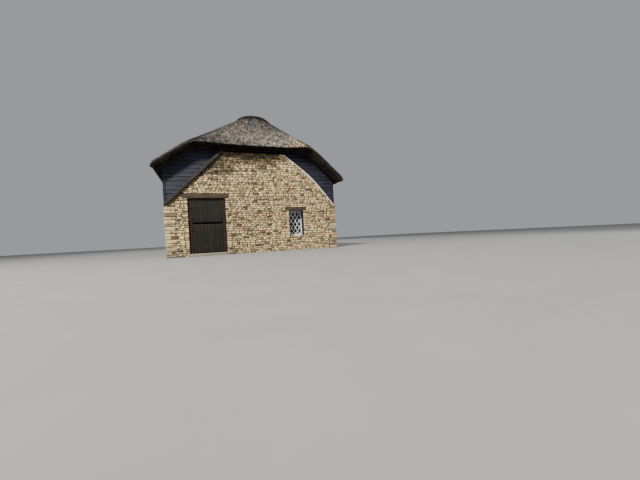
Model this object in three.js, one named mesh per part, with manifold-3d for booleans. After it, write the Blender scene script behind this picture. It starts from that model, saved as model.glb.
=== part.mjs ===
// A small thatched cottage: rubble stone walls, a half-hipped thatched roof raised on a boarded
// timber frame, a split stable door and small leaded windows. Millimetres, +Z up. The origin is at
// ground level under the middle of the roof, and the door gable faces -Y.
import * as THREE from "three";
import { mergeVertices } from "three/addons/utils/BufferGeometryUtils.js";
import Module from "manifold-3d";

const wasm = await Module();
wasm.setup();

// Driving dimensions of the stone walls. The right rake turns at its knee.
const HALF_WIDTH = 3350;
const HALF_LENGTH = 4800;
const WALL = 500;
const WALL_TOP = 1850;
const GABLE_TOP = 3960;
const GABLE_TOP_LEFT = -1210;
const GABLE_TOP_RIGHT = 1180;
const KNEE_X = 2400;
const KNEE_Z = 3025;
const KNEE_SOFTNESS = 200;
const FLOOR_TOP = 100;

// Driving dimensions of the thatch.
const THATCH = 320;
const THATCH_HALF_WIDTH = 3690;
const THATCH_HALF_LENGTH = 5150;
const RIDGE_X = 260;
const RIDGE_Z = 6140;
const LEFT_PITCH = THREE.MathUtils.degToRad(34.6);
const RIGHT_PITCH = THREE.MathUtils.degToRad(42.1);
const HIP_PITCH = THREE.MathUtils.degToRad(48.1);
const HIP_EAVE_Z = 4300;
const HIP_EAVE_SAG = 65;
const UNDERCUT = 150;
const RIDGE_SOFTNESS = 1000;
const HIP_SOFTNESS = 350;
const CAP_HALF_WIDTH = 760;
const CAP = 75;
const CAP_SHOULDER = 50;
const CAP_OVERHANG = 150;

// Timber sizes.
const COMMON_RAFTER = 100;
const PURLIN = 130;
const PRINCIPAL_DEPTH = 180;
const PRINCIPAL_WIDTH = 120;
const TRUSS_Y = 1450;
const BOARDING = 40;
const BOARDING_SET_BACK = 100;
const SIDE_BOARDING_SET_BACK = 20;
const FRAME_WIDTH = 150;
const FRAME_OUTER = HALF_WIDTH - SIDE_BOARDING_SET_BACK - BOARDING - 1;
const FRAME_INNER = FRAME_OUTER - FRAME_WIDTH;
const COLLAR_Z = 3300;
const COLLAR_DEPTH = 160;
const COLLAR_WIDTH = 80;
const LEFT_PURLIN_X = -1900;
const RIGHT_PURLIN_X = 1800;

// The stable door, in the left half of the front gable.
const DOOR_LEFT = -2580;
const DOOR_RIGHT = -1240;
const DOOR_FRAME_TOP = 2170;
const LINTEL = 180;
const LINTEL_BEARING = 150;
const JAMB = 130;
const JAMB_DEPTH = 100;
const DOOR_SET_BACK = 60;
const STOP = 15;
const PLANK = 28;
const LEDGE = 28;
const LEAF_GAP = 7;
const SPLIT_LOW = 1205;
const SPLIT_HIGH = 1265;
const PIN_RADIUS = 8;
const PIN_FACES = 24;
const PIN_OUT = 18;

// The windows: width and height of the hole in the wall.
const WINDOW_WIDTH = 620;
const WINDOW_HEIGHT = 1050;
const WINDOW_SILL = 600;
const WINDOW_BAR = 50;
const WINDOW_SET_BACK = 250;
const WINDOW_LINTEL = 130;
const WINDOW_LINTEL_BEARING = 150;
const FRONT_WINDOW_X = 1580;
const BACK_WINDOW_X = 300;
const SIDE_WINDOW_YS = [-2150, 2150];

// Two solids that meet on a slope keep this much between them.
const SEAT = 0.3;

const FRONT = -HALF_LENGTH;
const COLOURS = {
  stone: 0xb59a6c,
  thatch: 0x7d7263,
  ridge: 0x6b6054,
  boards: 0x23242b,
  oak: 0x6f5a45,
  frame: 0x7a4634,
  plank: 0x6d6358,
  iron: 0x2f2b29,
  white: 0xd9d9d2,
  glass: 0x20262b,
  floor: 0x8d8577,
};

function material(kind) {
  const metal = kind === "iron" ? 0.6 : 0;
  const rough = kind === "glass" ? 0.1 : 0.9;
  return new THREE.MeshStandardMaterial({ color: COLOURS[kind], metalness: metal, roughness: rough });
}

const cottage = new THREE.Group();

function part(name, geometry, kind, parent = cottage) {
  const mesh = new THREE.Mesh(geometry, material(kind));
  mesh.name = name;
  parent.add(mesh);
  return mesh;
}

// A box between two corners.
function slab([x0, y0, z0], [x1, y1, z1]) {
  return new THREE.BoxGeometry(x1 - x0, y1 - y0, z1 - z0).translate(
    (x0 + x1) / 2,
    (y0 + y1) / 2,
    (z0 + z1) / 2,
  );
}

function outline(points) {
  return new THREE.Shape(points.map(([a, b]) => new THREE.Vector2(a, b)));
}

function rectangle(a0, b0, a1, b1) {
  return [[a0, b0], [a1, b0], [a1, b1], [a0, b1]];
}

// An upright plate: an outline in X and Z, pushed through from y0 to y1.
function gablePlate(points, y0, y1, holes = []) {
  const shape = outline(points);
  holes.forEach((hole) => shape.holes.push(outline(hole)));
  const plate = new THREE.ExtrudeGeometry(shape, { depth: y1 - y0, bevelEnabled: false });
  return plate.rotateX(Math.PI / 2).translate(0, y1, 0);
}

// An upright plate: an outline in Y and Z, pushed through from x0 to x1.
function sidePlate(points, x0, x1) {
  const plate = new THREE.ExtrudeGeometry(outline(points), { depth: x1 - x0, bevelEnabled: false });
  return plate.rotateX(Math.PI / 2).rotateZ(Math.PI / 2).translate(x0, 0, 0);
}

// A post or beam: an outline in X and Y, pushed up from z0 to z1.
function post(points, z0, z1) {
  const shape = outline(points);
  return new THREE.ExtrudeGeometry(shape, { depth: z1 - z0, bevelEnabled: false }).translate(0, 0, z0);
}

// A geometry with shared corners joined and flat triangles dropped, so that it is one closed surface.
function closed(geometry) {
  const bare = geometry.clone();
  bare.deleteAttribute("normal");
  bare.deleteAttribute("uv");
  const merged = mergeVertices(bare, 1e-3);
  const kept = [];
  const index = merged.index.array;
  for (let i = 0; i < index.length; i += 3) {
    const [a, b, c] = [index[i], index[i + 1], index[i + 2]];
    if (a !== b && b !== c && c !== a) kept.push(a, b, c);
  }
  merged.setIndex(kept);
  return merged;
}

function solid(geometry) {
  const g = closed(geometry);
  return new wasm.Manifold(
    new wasm.Mesh({
      numProp: 3,
      vertProperties: new Float32Array(g.attributes.position.array),
      triVerts: new Uint32Array(g.index.array),
    }),
  );
}

function geometryOf(manifold) {
  const mesh = manifold.getMesh();
  const geometry = new THREE.BufferGeometry();
  geometry.setAttribute("position", new THREE.BufferAttribute(mesh.vertProperties, 3));
  geometry.setIndex(new THREE.BufferAttribute(mesh.triVerts, 1));
  return geometry;
}

function joined(...geometries) {
  return geometryOf(geometries.map(solid).reduce((all, next) => all.add(next)));
}

function pierced(geometry, holes) {
  return geometryOf(holes.map(solid).reduce((rest, hole) => rest.subtract(hole), solid(geometry)));
}

// Height of the stone gable's top edge at x: a straight left rake, a level top, and a right rake
// that turns down more steeply at a rounded knee.
function gableTop(x) {
  if (x < GABLE_TOP_LEFT) {
    const share = (x + HALF_WIDTH) / (GABLE_TOP_LEFT + HALF_WIDTH);
    return WALL_TOP + share * (GABLE_TOP - WALL_TOP);
  }
  if (x <= GABLE_TOP_RIGHT) return GABLE_TOP;
  const upperSlope = (KNEE_Z - GABLE_TOP) / (KNEE_X - GABLE_TOP_RIGHT);
  const lowerSlope = (WALL_TOP - KNEE_Z) / (HALF_WIDTH - KNEE_X);
  const upper = KNEE_Z + (x - KNEE_X) * upperSlope;
  return softMin(upper, KNEE_Z + (x - KNEE_X) * lowerSlope, KNEE_SOFTNESS);
}

// Points of the gable's top edge from x = from to x = to, left to right.
function rakePoints(from, to, lift = 0) {
  const knee = [-440, -220, 0, 220, 440].map((d) => KNEE_X + d);
  const corners = [GABLE_TOP_LEFT, GABLE_TOP_RIGHT, ...knee].filter((x) => x > from && x < to);
  return [from, ...corners, to].map((x) => [x, gableTop(x) + lift]);
}

// The planes of the thatch, as the height of their upper face; under is how far below it, square
// to the slope.
const leftPlane = (x, under = 0) =>
  RIDGE_Z + (x - RIDGE_X) * Math.tan(LEFT_PITCH) - under / Math.cos(LEFT_PITCH);
const rightPlane = (x, under = 0) =>
  RIDGE_Z - (x - RIDGE_X) * Math.tan(RIGHT_PITCH) - under / Math.cos(RIGHT_PITCH);
const hipPlane = (y, under = 0) =>
  HIP_EAVE_Z + (THATCH_HALF_LENGTH - Math.abs(y)) * Math.tan(HIP_PITCH) - under / Math.cos(HIP_PITCH);

// The two long sides of the cottage.
const SIDES = [
  { name: "left", side: -1, plane: leftPlane },
  { name: "right", side: 1, plane: rightPlane },
];

// Corners of the hip eave, and how far along the ridge the hips reach.
const CORNER_LEFT = RIDGE_X - (RIDGE_Z - HIP_EAVE_Z) / Math.tan(LEFT_PITCH);
const CORNER_RIGHT = RIDGE_X + (RIDGE_Z - HIP_EAVE_Z) / Math.tan(RIGHT_PITCH);
const RIDGE_END = THATCH_HALF_LENGTH - (RIDGE_Z - HIP_EAVE_Z) / Math.tan(HIP_PITCH);

// The lower of two heights, with a soft turn where they are close.
function softMin(a, b, softness) {
  const near = Math.max(softness - Math.abs(a - b), 0) / softness;
  return Math.min(a, b) - (near * near * softness) / 4;
}

// The hip eave hangs a little lower in its middle.
function eaveSag(x, y) {
  const middle = (CORNER_LEFT + CORNER_RIGHT) / 2;
  const across = Math.min(1, Math.abs(x - middle) / (CORNER_RIGHT - middle));
  const up = Math.min(1, (THATCH_HALF_LENGTH - Math.abs(y)) / 1200);
  return HIP_EAVE_SAG * (1 - across * across) * (1 - up);
}

function thatchTop(x, y) {
  const slopes = softMin(leftPlane(x), rightPlane(x), RIDGE_SOFTNESS);
  return softMin(slopes, hipPlane(y) - eaveSag(x, y), HIP_SOFTNESS);
}

// How far a rounded lip drops at a distance from the thatch's edge.
function lipDrop(distance) {
  const reach = 130;
  const fall = 90;
  const t = 1 - Math.min(1, distance / reach);
  return fall * (1 - Math.sqrt(1 - t * t));
}

// Distances from the thatch's edge, and from its ridge line, at which its surface has rows of points.
const LIP_STEPS = [0, 20, 60, 130];
const RIDGE_TURN = [640, 430, 215];

// A box with nx by ny cells on its faces, whose points place() moves to where they belong.
function warpedBox(nx, ny, place) {
  const box = new THREE.BoxGeometry(1, 1, 1, nx, ny, 1);
  const points = box.getAttribute("position");
  for (let i = 0; i < points.count; i += 1) {
    const column = Math.round((points.getX(i) + 0.5) * nx);
    const row = Math.round((points.getY(i) + 0.5) * ny);
    const top = points.getZ(i) > 0;
    points.setXYZ(i, ...place(column, row, top));
  }
  return closed(box);
}

// Y of a row that is inset from a solid's front end, or, past the middle row, from its back end.
function rowPosition(row, insets, edge) {
  const middle = insets.length;
  if (row === middle) return 0;
  return row < middle ? insets[row] - edge : edge - insets[2 * middle - row];
}

// One long slope of the thatch. side is -1 for the left slope and 1 for the right one. Columns run
// from the eave to the ridge, and rows from the front to the back.
function thatchSlope(side) {
  const plane = side < 0 ? leftPlane : rightPlane;
  const pitch = side < 0 ? LEFT_PITCH : RIGHT_PITCH;
  const eave = side * THATCH_HALF_WIDTH;
  const corner = side < 0 ? CORNER_LEFT : CORNER_RIGHT;
  const ridge = RIDGE_X + side * SEAT;
  const perRun = (THATCH_HALF_LENGTH - RIDGE_END) / (RIDGE_X - corner);
  // Plan position of the hip line at x, measured from the middle of the length.
  const hipLine = (x) => THATCH_HALF_LENGTH - (x - corner) * perRun - SEAT;
  const cornerUnder = corner + UNDERCUT / perRun;
  const topColumns = [
    ...LIP_STEPS.map((d) => eave - side * d),
    (eave + corner) / 2,
    corner,
    corner + (ridge - corner) * 0.35,
    corner + (ridge - corner) * 0.7,
    ...RIDGE_TURN.map((d) => ridge + side * d),
    ridge,
  ];
  const lip = eave - side * THATCH * Math.sin(pitch);
  const underColumns = topColumns.map((x, i) => {
    const share = (x - eave) / (corner - eave);
    if (i <= LIP_STEPS.length + 1) return lip + share * (cornerUnder - lip);
    return cornerUnder + ((x - corner) / (ridge - corner)) * (ridge - cornerUnder);
  });
  const insets = [...LIP_STEPS, 320, 700];
  const place = (column, row, top) => {
    const x = top ? topColumns[column] : underColumns[column];
    const underHip = side * (x - (top ? corner : cornerUnder)) <= 0;
    const edge = underHip ? hipLine(x) : THATCH_HALF_LENGTH - (top ? 0 : UNDERCUT);
    const y = rowPosition(row, insets, edge);
    if (!top) return [x, y, plane(x, THATCH)];
    const fromEave = side * (eave - x);
    const fromVerge = underHip ? Infinity : THATCH_HALF_LENGTH - Math.abs(y);
    return [x, y, thatchTop(x, y) - lipDrop(fromEave) - lipDrop(fromVerge)];
  };
  const columns = topColumns.length - 1;
  const rows = 2 * insets.length;
  if (side < 0) return warpedBox(columns, rows, place);
  return warpedBox(columns, rows, (column, row, top) => place(columns - column, row, top));
}

// The half hip over one gable. end is -1 at the front and 1 at the back.
function thatchHip(end) {
  const across = [0, 0.03, 0.09, 0.22, 0.4, 0.58, 0.76, 0.9, 0.97, 1];
  const up = [0, 0.01, 0.03, 0.065, 0.2, 0.45, 0.7, 0.86, 0.95, 1];
  const place = (column, row, top) => {
    const rowUp = end < 0 ? row : up.length - 1 - row;
    const start = top ? THATCH_HALF_LENGTH : THATCH_HALF_LENGTH - UNDERCUT;
    const out = start + (RIDGE_END - start) * up[rowUp];
    const share = (THATCH_HALF_LENGTH - out) / (THATCH_HALF_LENGTH - RIDGE_END);
    const left = CORNER_LEFT + (RIDGE_X - CORNER_LEFT) * share;
    const right = CORNER_RIGHT + (RIDGE_X - CORNER_RIGHT) * share;
    const x = left + (right - left) * across[column];
    const y = end * out;
    if (!top) return [x, y, hipPlane(y, THATCH)];
    return [x, y, thatchTop(x, y) - lipDrop(THATCH_HALF_LENGTH - out)];
  };
  return warpedBox(across.length - 1, up.length - 1, place);
}

// The block ridge: a second, thicker coat along the ridge that laps over the top of both hips.
function thatchRidge() {
  const half = [CAP_HALF_WIDTH, 725, ...RIDGE_TURN];
  const across = [...half.map((d) => -d), 0, ...half.toReversed()];
  const reach = RIDGE_END + CAP_OVERHANG;
  const insets = [0, 40, 120, 300, 520, 760, 1100];
  // Near the hips the cap lies a little clear, because its flat faces don't follow their curves.
  const hipLift = 30;
  const liftFrom = RIDGE_END - 560;
  const liftOver = 300;
  // The cap is thickest on its steeper, right side, and its rim is a little over half as thick.
  const thinnest = 0.55;
  const fade = 660;
  const place = (column, row, top) => {
    const x = RIDGE_X + across[column];
    const y = rowPosition(row, insets, reach);
    const overHip = THREE.MathUtils.clamp((Math.abs(y) - liftFrom) / liftOver, 0, 1);
    const base = thatchTop(x, y) + 1.5 * SEAT + hipLift * overHip;
    if (!top) return [x, y, base];
    const edge = Math.min(1, (CAP_HALF_WIDTH - Math.abs(across[column])) / (fade / 3) + thinnest);
    const tip = Math.min(1, (reach - Math.abs(y)) / (fade / 2) + thinnest);
    const shoulder = CAP_SHOULDER * THREE.MathUtils.clamp(across[column] / RIDGE_TURN[1], 0, 1);
    return [x, y, base + (CAP + shoulder) * edge * tip];
  };
  return warpedBox(across.length - 1, 2 * insets.length, place);
}

// Stone walls. The front gable is three pieces: beside the door on each side, and over it.
function buildWalls() {
  const frontBack = FRONT + WALL;
  const lintelTop = DOOR_FRAME_TOP + LINTEL;
  const slotLeft = DOOR_LEFT - LINTEL_BEARING;
  const slotRight = DOOR_RIGHT + LINTEL_BEARING;
  const beside = [
    [-HALF_WIDTH, 0],
    [DOOR_LEFT, 0],
    [DOOR_LEFT, DOOR_FRAME_TOP],
    [slotLeft, DOOR_FRAME_TOP],
    [slotLeft, lintelTop],
    [DOOR_LEFT, lintelTop],
    ...rakePoints(-HALF_WIDTH, DOOR_LEFT).reverse(),
  ];
  part("front_wall_left", gablePlate(beside, FRONT, frontBack), "stone");
  const over = [
    [DOOR_LEFT, lintelTop],
    [DOOR_RIGHT, lintelTop],
    ...rakePoints(DOOR_LEFT, DOOR_RIGHT).reverse(),
  ];
  part("front_wall_over_door", gablePlate(over, FRONT, frontBack), "stone");
  const right = [
    [DOOR_RIGHT, 0],
    [HALF_WIDTH, 0],
    ...rakePoints(DOOR_RIGHT, HALF_WIDTH).reverse(),
    [DOOR_RIGHT, lintelTop],
    [slotRight, lintelTop],
    [slotRight, DOOR_FRAME_TOP],
    [DOOR_RIGHT, DOOR_FRAME_TOP],
  ];
  const { left: holeLeft, right: holeRight, head } = windowHole(FRONT_WINDOW_X);
  const withLintel = [
    [holeLeft, WINDOW_SILL],
    [holeRight, WINDOW_SILL],
    [holeRight, head],
    [holeRight + WINDOW_LINTEL_BEARING, head],
    [holeRight + WINDOW_LINTEL_BEARING, head + WINDOW_LINTEL],
    [holeLeft - WINDOW_LINTEL_BEARING, head + WINDOW_LINTEL],
    [holeLeft - WINDOW_LINTEL_BEARING, head],
    [holeLeft, head],
  ];
  part("front_wall_right", gablePlate(right, FRONT, frontBack, [withLintel]), "stone");
  const back = [[-HALF_WIDTH, 0], [HALF_WIDTH, 0], ...rakePoints(-HALF_WIDTH, HALF_WIDTH).reverse()];
  const backHole = windowHole(BACK_WINDOW_X);
  const backHoles = [rectangle(backHole.left, WINDOW_SILL, backHole.right, backHole.head)];
  part("back_wall", gablePlate(back, HALF_LENGTH - WALL, HALF_LENGTH, backHoles), "stone");
  const inner = HALF_LENGTH - WALL;
  const hall = HALF_WIDTH - WALL;
  const sideHoles = SIDE_WINDOW_YS.map(windowHole).map(({ left, right: far, head: top }) =>
    slab([-HALF_WIDTH - WALL, left, WINDOW_SILL], [HALF_WIDTH + WALL, far, top]),
  );
  const leftWall = slab([-HALF_WIDTH, -inner, 0], [-hall, inner, WALL_TOP]);
  part("left_wall", pierced(leftWall, sideHoles), "stone");
  const rightWall = slab([hall, -inner, 0], [HALF_WIDTH, inner, WALL_TOP]);
  part("right_wall", pierced(rightWall, sideHoles), "stone");
  part("floor", slab([-hall, -inner, 0], [hall, inner, FLOOR_TOP]), "floor");
}

function windowHole(centre) {
  return {
    left: centre - WINDOW_WIDTH / 2,
    right: centre + WINDOW_WIDTH / 2,
    head: WINDOW_SILL + WINDOW_HEIGHT,
  };
}

// Black boarding that closes the gap between the stone and the thatch.
function buildBoarding() {
  const clear = 2 * SEAT;
  const boardY = HALF_LENGTH - BOARDING_SET_BACK;
  const hipUnder = hipPlane(boardY, THATCH) - clear;
  const slopeTan = { left: Math.tan(LEFT_PITCH), right: Math.tan(RIGHT_PITCH) };
  const hipLeft = RIDGE_X + (hipUnder + clear - leftPlane(RIDGE_X, THATCH)) / slopeTan.left;
  const hipRight = RIDGE_X - (hipUnder + clear - rightPlane(RIDGE_X, THATCH)) / slopeTan.right;
  const panel = [
    ...rakePoints(-HALF_WIDTH, HALF_WIDTH, clear),
    [HALF_WIDTH, rightPlane(HALF_WIDTH, THATCH) - clear],
    [hipRight, hipUnder],
    [hipLeft, hipUnder],
    [-HALF_WIDTH, leftPlane(-HALF_WIDTH, THATCH) - clear],
  ];
  part("front_gable_boarding", gablePlate(panel, -boardY, BOARDING - boardY), "boards");
  part("back_gable_boarding", gablePlate(panel, boardY - BOARDING, boardY), "boards");
  SIDES.forEach(({ name, side, plane }) => {
    const outer = side * (HALF_WIDTH - SIDE_BOARDING_SET_BACK);
    const back = outer - side * BOARDING;
    const end = boardY - BOARDING - SEAT;
    const inner = HALF_LENGTH - WALL;
    const overGable = gableTop(back) + clear;
    const top = plane(outer, THATCH) - clear;
    const face = [
      [-end, overGable],
      [-inner, overGable],
      [-inner, WALL_TOP],
      [inner, WALL_TOP],
      [inner, overGable],
      [end, overGable],
      [end, top],
      [-end, top],
    ];
    const plate = sidePlate(face, Math.min(outer, back), Math.max(outer, back));
    part(`${name}_side_boarding`, plate, "boards");
  });
}

// The timber that caps the left rake of the front gable, in front of the boarding.
function buildRakeTimber() {
  const depth = 110;
  const proud = 15;
  const run = GABLE_TOP_LEFT + HALF_WIDTH;
  const rise = GABLE_TOP - WALL_TOP;
  // It starts where its upper edge meets the corner of the wall.
  const start = (depth * rise) / run;
  const length = Math.hypot(run, rise) - start;
  const thickness = BOARDING_SET_BACK + proud - SEAT;
  const timber = new THREE.BoxGeometry(length, thickness, depth);
  timber.translate(start + length / 2, 0, depth / 2 + SEAT);
  const mesh = part("rake_timber", timber, "oak");
  mesh.rotation.y = -Math.atan2(rise, run);
  mesh.position.set(-HALF_WIDTH, FRONT - proud + thickness / 2, WALL_TOP);
}

// The raised timber frame on a side wall, behind its boarding.
function buildSideFrame({ name, side, plane }) {
  const inner = HALF_LENGTH - WALL;
  const plateTop = Math.floor(plane(side * FRAME_OUTER, THATCH + COMMON_RAFTER));
  const low = Math.min(side * FRAME_OUTER, side * FRAME_INNER);
  const high = low + FRAME_WIDTH;
  const plate = 150;
  const sole = 120;
  const studs = 10;
  const stud = 120;
  const beams = [
    slab([low, -inner, WALL_TOP], [high, inner, WALL_TOP + sole]),
    slab([low, -inner, plateTop - plate], [high, inner, plateTop]),
  ];
  for (let i = 0; i < studs; i += 1) {
    const y = -inner + (i * (2 * inner - stud)) / (studs - 1);
    beams.push(slab([low, y, WALL_TOP + sole / 2], [high, y + stud, plateTop - plate / 2]));
  }
  part(`${name}_wall_frame`, joined(...beams), "oak");
}

// Where the slope's plane, so far under its upper face, reaches the height z.
const leftX = (z, under) => RIDGE_X + (z - leftPlane(RIDGE_X, under)) / Math.tan(LEFT_PITCH);
const rightX = (z, under) => RIDGE_X - (z - rightPlane(RIDGE_X, under)) / Math.tan(RIGHT_PITCH);

// The back of the principal rafters carries the purlins. Their tops are cut level, as a seat for
// the ridge beam.
const RAFTER_BACK = THATCH + COMMON_RAFTER + PURLIN;
const RAFTER_BELLY = RAFTER_BACK + PRINCIPAL_DEPTH;
const BACKS_APART = leftPlane(RIDGE_X, RAFTER_BACK) - rightPlane(RIDGE_X, RAFTER_BACK);
const APEX_X = RIDGE_X - BACKS_APART / (Math.tan(LEFT_PITCH) + Math.tan(RIGHT_PITCH));
const SEAT_Z = leftPlane(APEX_X, RAFTER_BACK) - 45;

function buildTruss(label, y) {
  const foot = FRAME_INNER - SEAT;
  const left = [
    [-foot, leftPlane(-foot, RAFTER_BELLY)],
    [APEX_X - SEAT, leftPlane(APEX_X - SEAT, RAFTER_BELLY)],
    [APEX_X - SEAT, SEAT_Z],
    [leftX(SEAT_Z, RAFTER_BACK), SEAT_Z],
    [-foot, leftPlane(-foot, RAFTER_BACK)],
  ];
  const right = [
    [APEX_X + SEAT, rightPlane(APEX_X + SEAT, RAFTER_BELLY)],
    [foot, rightPlane(foot, RAFTER_BELLY)],
    [foot, rightPlane(foot, RAFTER_BACK)],
    [rightX(SEAT_Z, RAFTER_BACK), SEAT_Z],
    [APEX_X + SEAT, SEAT_Z],
  ];
  const half = PRINCIPAL_WIDTH / 2;
  part(`${label}_left_rafter`, gablePlate(left, y - half, y + half), "oak");
  part(`${label}_right_rafter`, gablePlate(right, y - half, y + half), "oak");

  // The collar laps the back faces of both rafters.
  const middle = COLLAR_Z + COLLAR_DEPTH / 2;
  const collarLeft = leftX(middle, RAFTER_BELLY - PRINCIPAL_DEPTH / 2) - 60;
  const collarRight = rightX(middle, RAFTER_BELLY - PRINCIPAL_DEPTH / 2) + 20;
  const low = [collarLeft, y + half, COLLAR_Z];
  const high = [collarRight, y + half + COLLAR_WIDTH, COLLAR_Z + COLLAR_DEPTH];
  part(`${label}_collar`, slab(low, high), "oak");
}

function buildRidgeBeam() {
  const height = 140;
  const halfWidth = 60;
  const top = SEAT_Z + SEAT + height;
  const hipFoot = hipPlane(THATCH_HALF_LENGTH, THATCH + COMMON_RAFTER);
  const reach = THATCH_HALF_LENGTH - (top - hipFoot) / Math.tan(HIP_PITCH);
  const low = [APEX_X - halfWidth, -reach, SEAT_Z + SEAT];
  part("ridge_beam", slab(low, [APEX_X + halfWidth, reach, top]), "oak");
}

// A purlin lies on the backs of the trusses and runs from one gable's boarding to the other's.
function buildPurlin(name, x, plane, tilt) {
  const reach = HALF_LENGTH - BOARDING_SET_BACK - BOARDING - SEAT;
  const mesh = part(name, new THREE.BoxGeometry(PURLIN, 2 * reach, PURLIN), "oak");
  mesh.rotation.y = tilt;
  mesh.position.set(x, 0, plane(x, THATCH + COMMON_RAFTER + PURLIN / 2 - SEAT));
}

function buildRoofTimbers() {
  buildTruss("front_truss", -TRUSS_Y);
  buildTruss("back_truss", TRUSS_Y);
  buildRidgeBeam();
  buildPurlin("left_purlin", LEFT_PURLIN_X, leftPlane, -LEFT_PITCH);
  buildPurlin("right_purlin", RIGHT_PURLIN_X, rightPlane, RIGHT_PITCH);
}

// A strap hinge with its eye round the pin. It is drawn along +X from the pin's axis.
function strapHinge(eyeLow) {
  const length = 620;
  const width = 42;
  const thick = 6;
  const eyeRadius = 15;
  const play = 0.8;
  const eye = new THREE.Shape().absarc(0, 0, eyeRadius, 0, 2 * Math.PI, false);
  eye.holes.push(new THREE.Path().absarc(0, 0, PIN_RADIUS + play, 0, 2 * Math.PI, true));
  const settings = { depth: width, bevelEnabled: false, curveSegments: PIN_FACES / 2 };
  const ring = new THREE.ExtrudeGeometry(eye, settings).translate(0, 0, eyeLow);
  const back = PIN_OUT - SEAT;
  const top = eyeLow + width;
  const neckIn = 11;
  const neckOut = 17;
  const plate = post(rectangle(neckIn, back - thick, length, back), eyeLow, top);
  const neck = post([[neckIn, -2], [neckIn + 3, -2], [neckOut, back], [neckIn, back]], eyeLow, top);
  return joined(ring, plate, neck);
}

// The hook that the strap turns on: a plate on the jamb, an arm and an upright pin. Towards the leaf
// the arm is no wider than the pin, so that the leaf's edge clears it as it turns.
function pintle(eyeLow) {
  const armHigh = 22;
  const armLow = eyeLow - armHigh - 1;
  const plate = slab([-125, PIN_OUT - 6, armLow - 20], [-20, PIN_OUT, armLow + 50]);
  const reach = PIN_RADIUS + 1;
  const root = slab([-60, -reach, armLow], [-20, PIN_OUT, armLow + armHigh]);
  const arm = slab([-30, -reach, armLow], [reach, reach, armLow + armHigh]);
  const pinLength = 62;
  const pin = new THREE.CylinderGeometry(PIN_RADIUS, PIN_RADIUS, pinLength, PIN_FACES);
  pin.rotateX(Math.PI / 2).translate(0, 0, armLow + armHigh - 6 + pinLength / 2);
  return joined(plate, root, arm, pin);
}

// One leaf: upright planks with two ledges behind them.
function doorLeaf(width, z0, z1) {
  const ledgeInset = 45;
  const ledge = 140;
  const fromEdge = 130;
  const planks = slab([0, 0, z0], [width, PLANK, z1]);
  const ledges = [z0 + fromEdge, z1 - fromEdge - ledge].map((z) =>
    slab([ledgeInset, PLANK / 2, z], [width - ledgeInset, PLANK + LEDGE, z + ledge]),
  );
  return joined(planks, ...ledges);
}

function buildDoor() {
  const face = FRONT + DOOR_SET_BACK;
  const stopFace = face + PLANK + LEAF_GAP;
  const rear = face + JAMB_DEPTH;
  const jambLeft = DOOR_LEFT + JAMB;
  const jambRight = DOOR_RIGHT - JAMB;
  const headLow = DOOR_FRAME_TOP - JAMB_DEPTH;
  const left = [
    [DOOR_LEFT, face],
    [jambLeft, face],
    [jambLeft, stopFace],
    [jambLeft + STOP, stopFace],
    [jambLeft + STOP, rear],
    [DOOR_LEFT, rear],
  ];
  const right = [
    [jambRight, face],
    [DOOR_RIGHT, face],
    [DOOR_RIGHT, rear],
    [jambRight - STOP, rear],
    [jambRight - STOP, stopFace],
    [jambRight, stopFace],
  ];
  part("door_jamb_left", post(left, FLOOR_TOP, headLow), "frame");
  part("door_jamb_right", post(right, FLOOR_TOP, headLow), "frame");
  const bar = slab([DOOR_LEFT, face, headLow], [DOOR_RIGHT, rear, DOOR_FRAME_TOP]);
  const lip = slab([jambLeft + STOP, stopFace, headLow - STOP], [jambRight - STOP, rear, headLow + STOP]);
  part("door_head", joined(bar, lip), "frame");
  const lintelLow = [DOOR_LEFT - LINTEL_BEARING, FRONT, DOOR_FRAME_TOP];
  const lintelHigh = [DOOR_RIGHT + LINTEL_BEARING, FRONT + WALL, DOOR_FRAME_TOP + LINTEL];
  part("door_lintel", slab(lintelLow, lintelHigh), "oak");
  part("door_threshold", slab([DOOR_LEFT, FRONT, 0], [DOOR_RIGHT, FRONT + WALL, FLOOR_TOP]), "floor");

  // Everything on a leaf hangs from the pins, so it is placed from their axis.
  const width = jambRight - jambLeft - 2 * LEAF_GAP;
  const pins = new THREE.Group();
  pins.position.set(jambLeft + LEAF_GAP / 2, face - PIN_OUT, 0);
  cottage.add(pins);
  const leafTop = headLow - LEAF_GAP;
  const leafLow = FLOOR_TOP + 2 * LEAF_GAP;
  const leaves = [
    ["lower", leafLow, SPLIT_LOW],
    ["upper", SPLIT_HIGH, leafTop],
  ];
  leaves.forEach(([label, z0, z1]) => {
    const leaf = part(`door_${label}_leaf`, doorLeaf(width, z0, z1), "plank", pins);
    leaf.position.set(LEAF_GAP / 2, PIN_OUT, 0);
    const heights = { bottom: z0 + 175, top: z1 - 215 };
    Object.entries(heights).forEach(([place, z]) => {
      part(`door_${label}_${place}_strap`, strapHinge(z), "iron", pins);
      part(`door_${label}_${place}_pintle`, pintle(z), "iron", pins);
    });
  });
}

// A window seen from outside, with the hole's middle at x = 0 and the wall's face at y = 0.
function buildWindow(name, x, y, turn) {
  const group = new THREE.Group();
  group.position.set(x, y, WINDOW_SILL);
  group.rotation.z = turn;
  cottage.add(group);
  const half = WINDOW_WIDTH / 2;
  const front = WINDOW_SET_BACK;
  const depth = 80;
  const bottom = WINDOW_BAR + 15;
  const sillOut = 60;
  const ring = gablePlate(
    rectangle(-half, 0, half, WINDOW_HEIGHT),
    front,
    front + depth,
    [rectangle(WINDOW_BAR - half, bottom, half - WINDOW_BAR, WINDOW_HEIGHT - WINDOW_BAR)],
  );
  const sill = slab([-half, front - sillOut, 0], [half, front + depth / 2, 45]);
  part(`${name}_frame`, joined(ring, sill), "white", group);
  const pane = slab(
    [WINDOW_BAR - half + SEAT, front + 45, bottom + SEAT],
    [half - WINDOW_BAR - SEAT, front + 51, WINDOW_HEIGHT - WINDOW_BAR - SEAT],
  );
  part(`${name}_glass`, pane, "glass", group);
}

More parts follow.
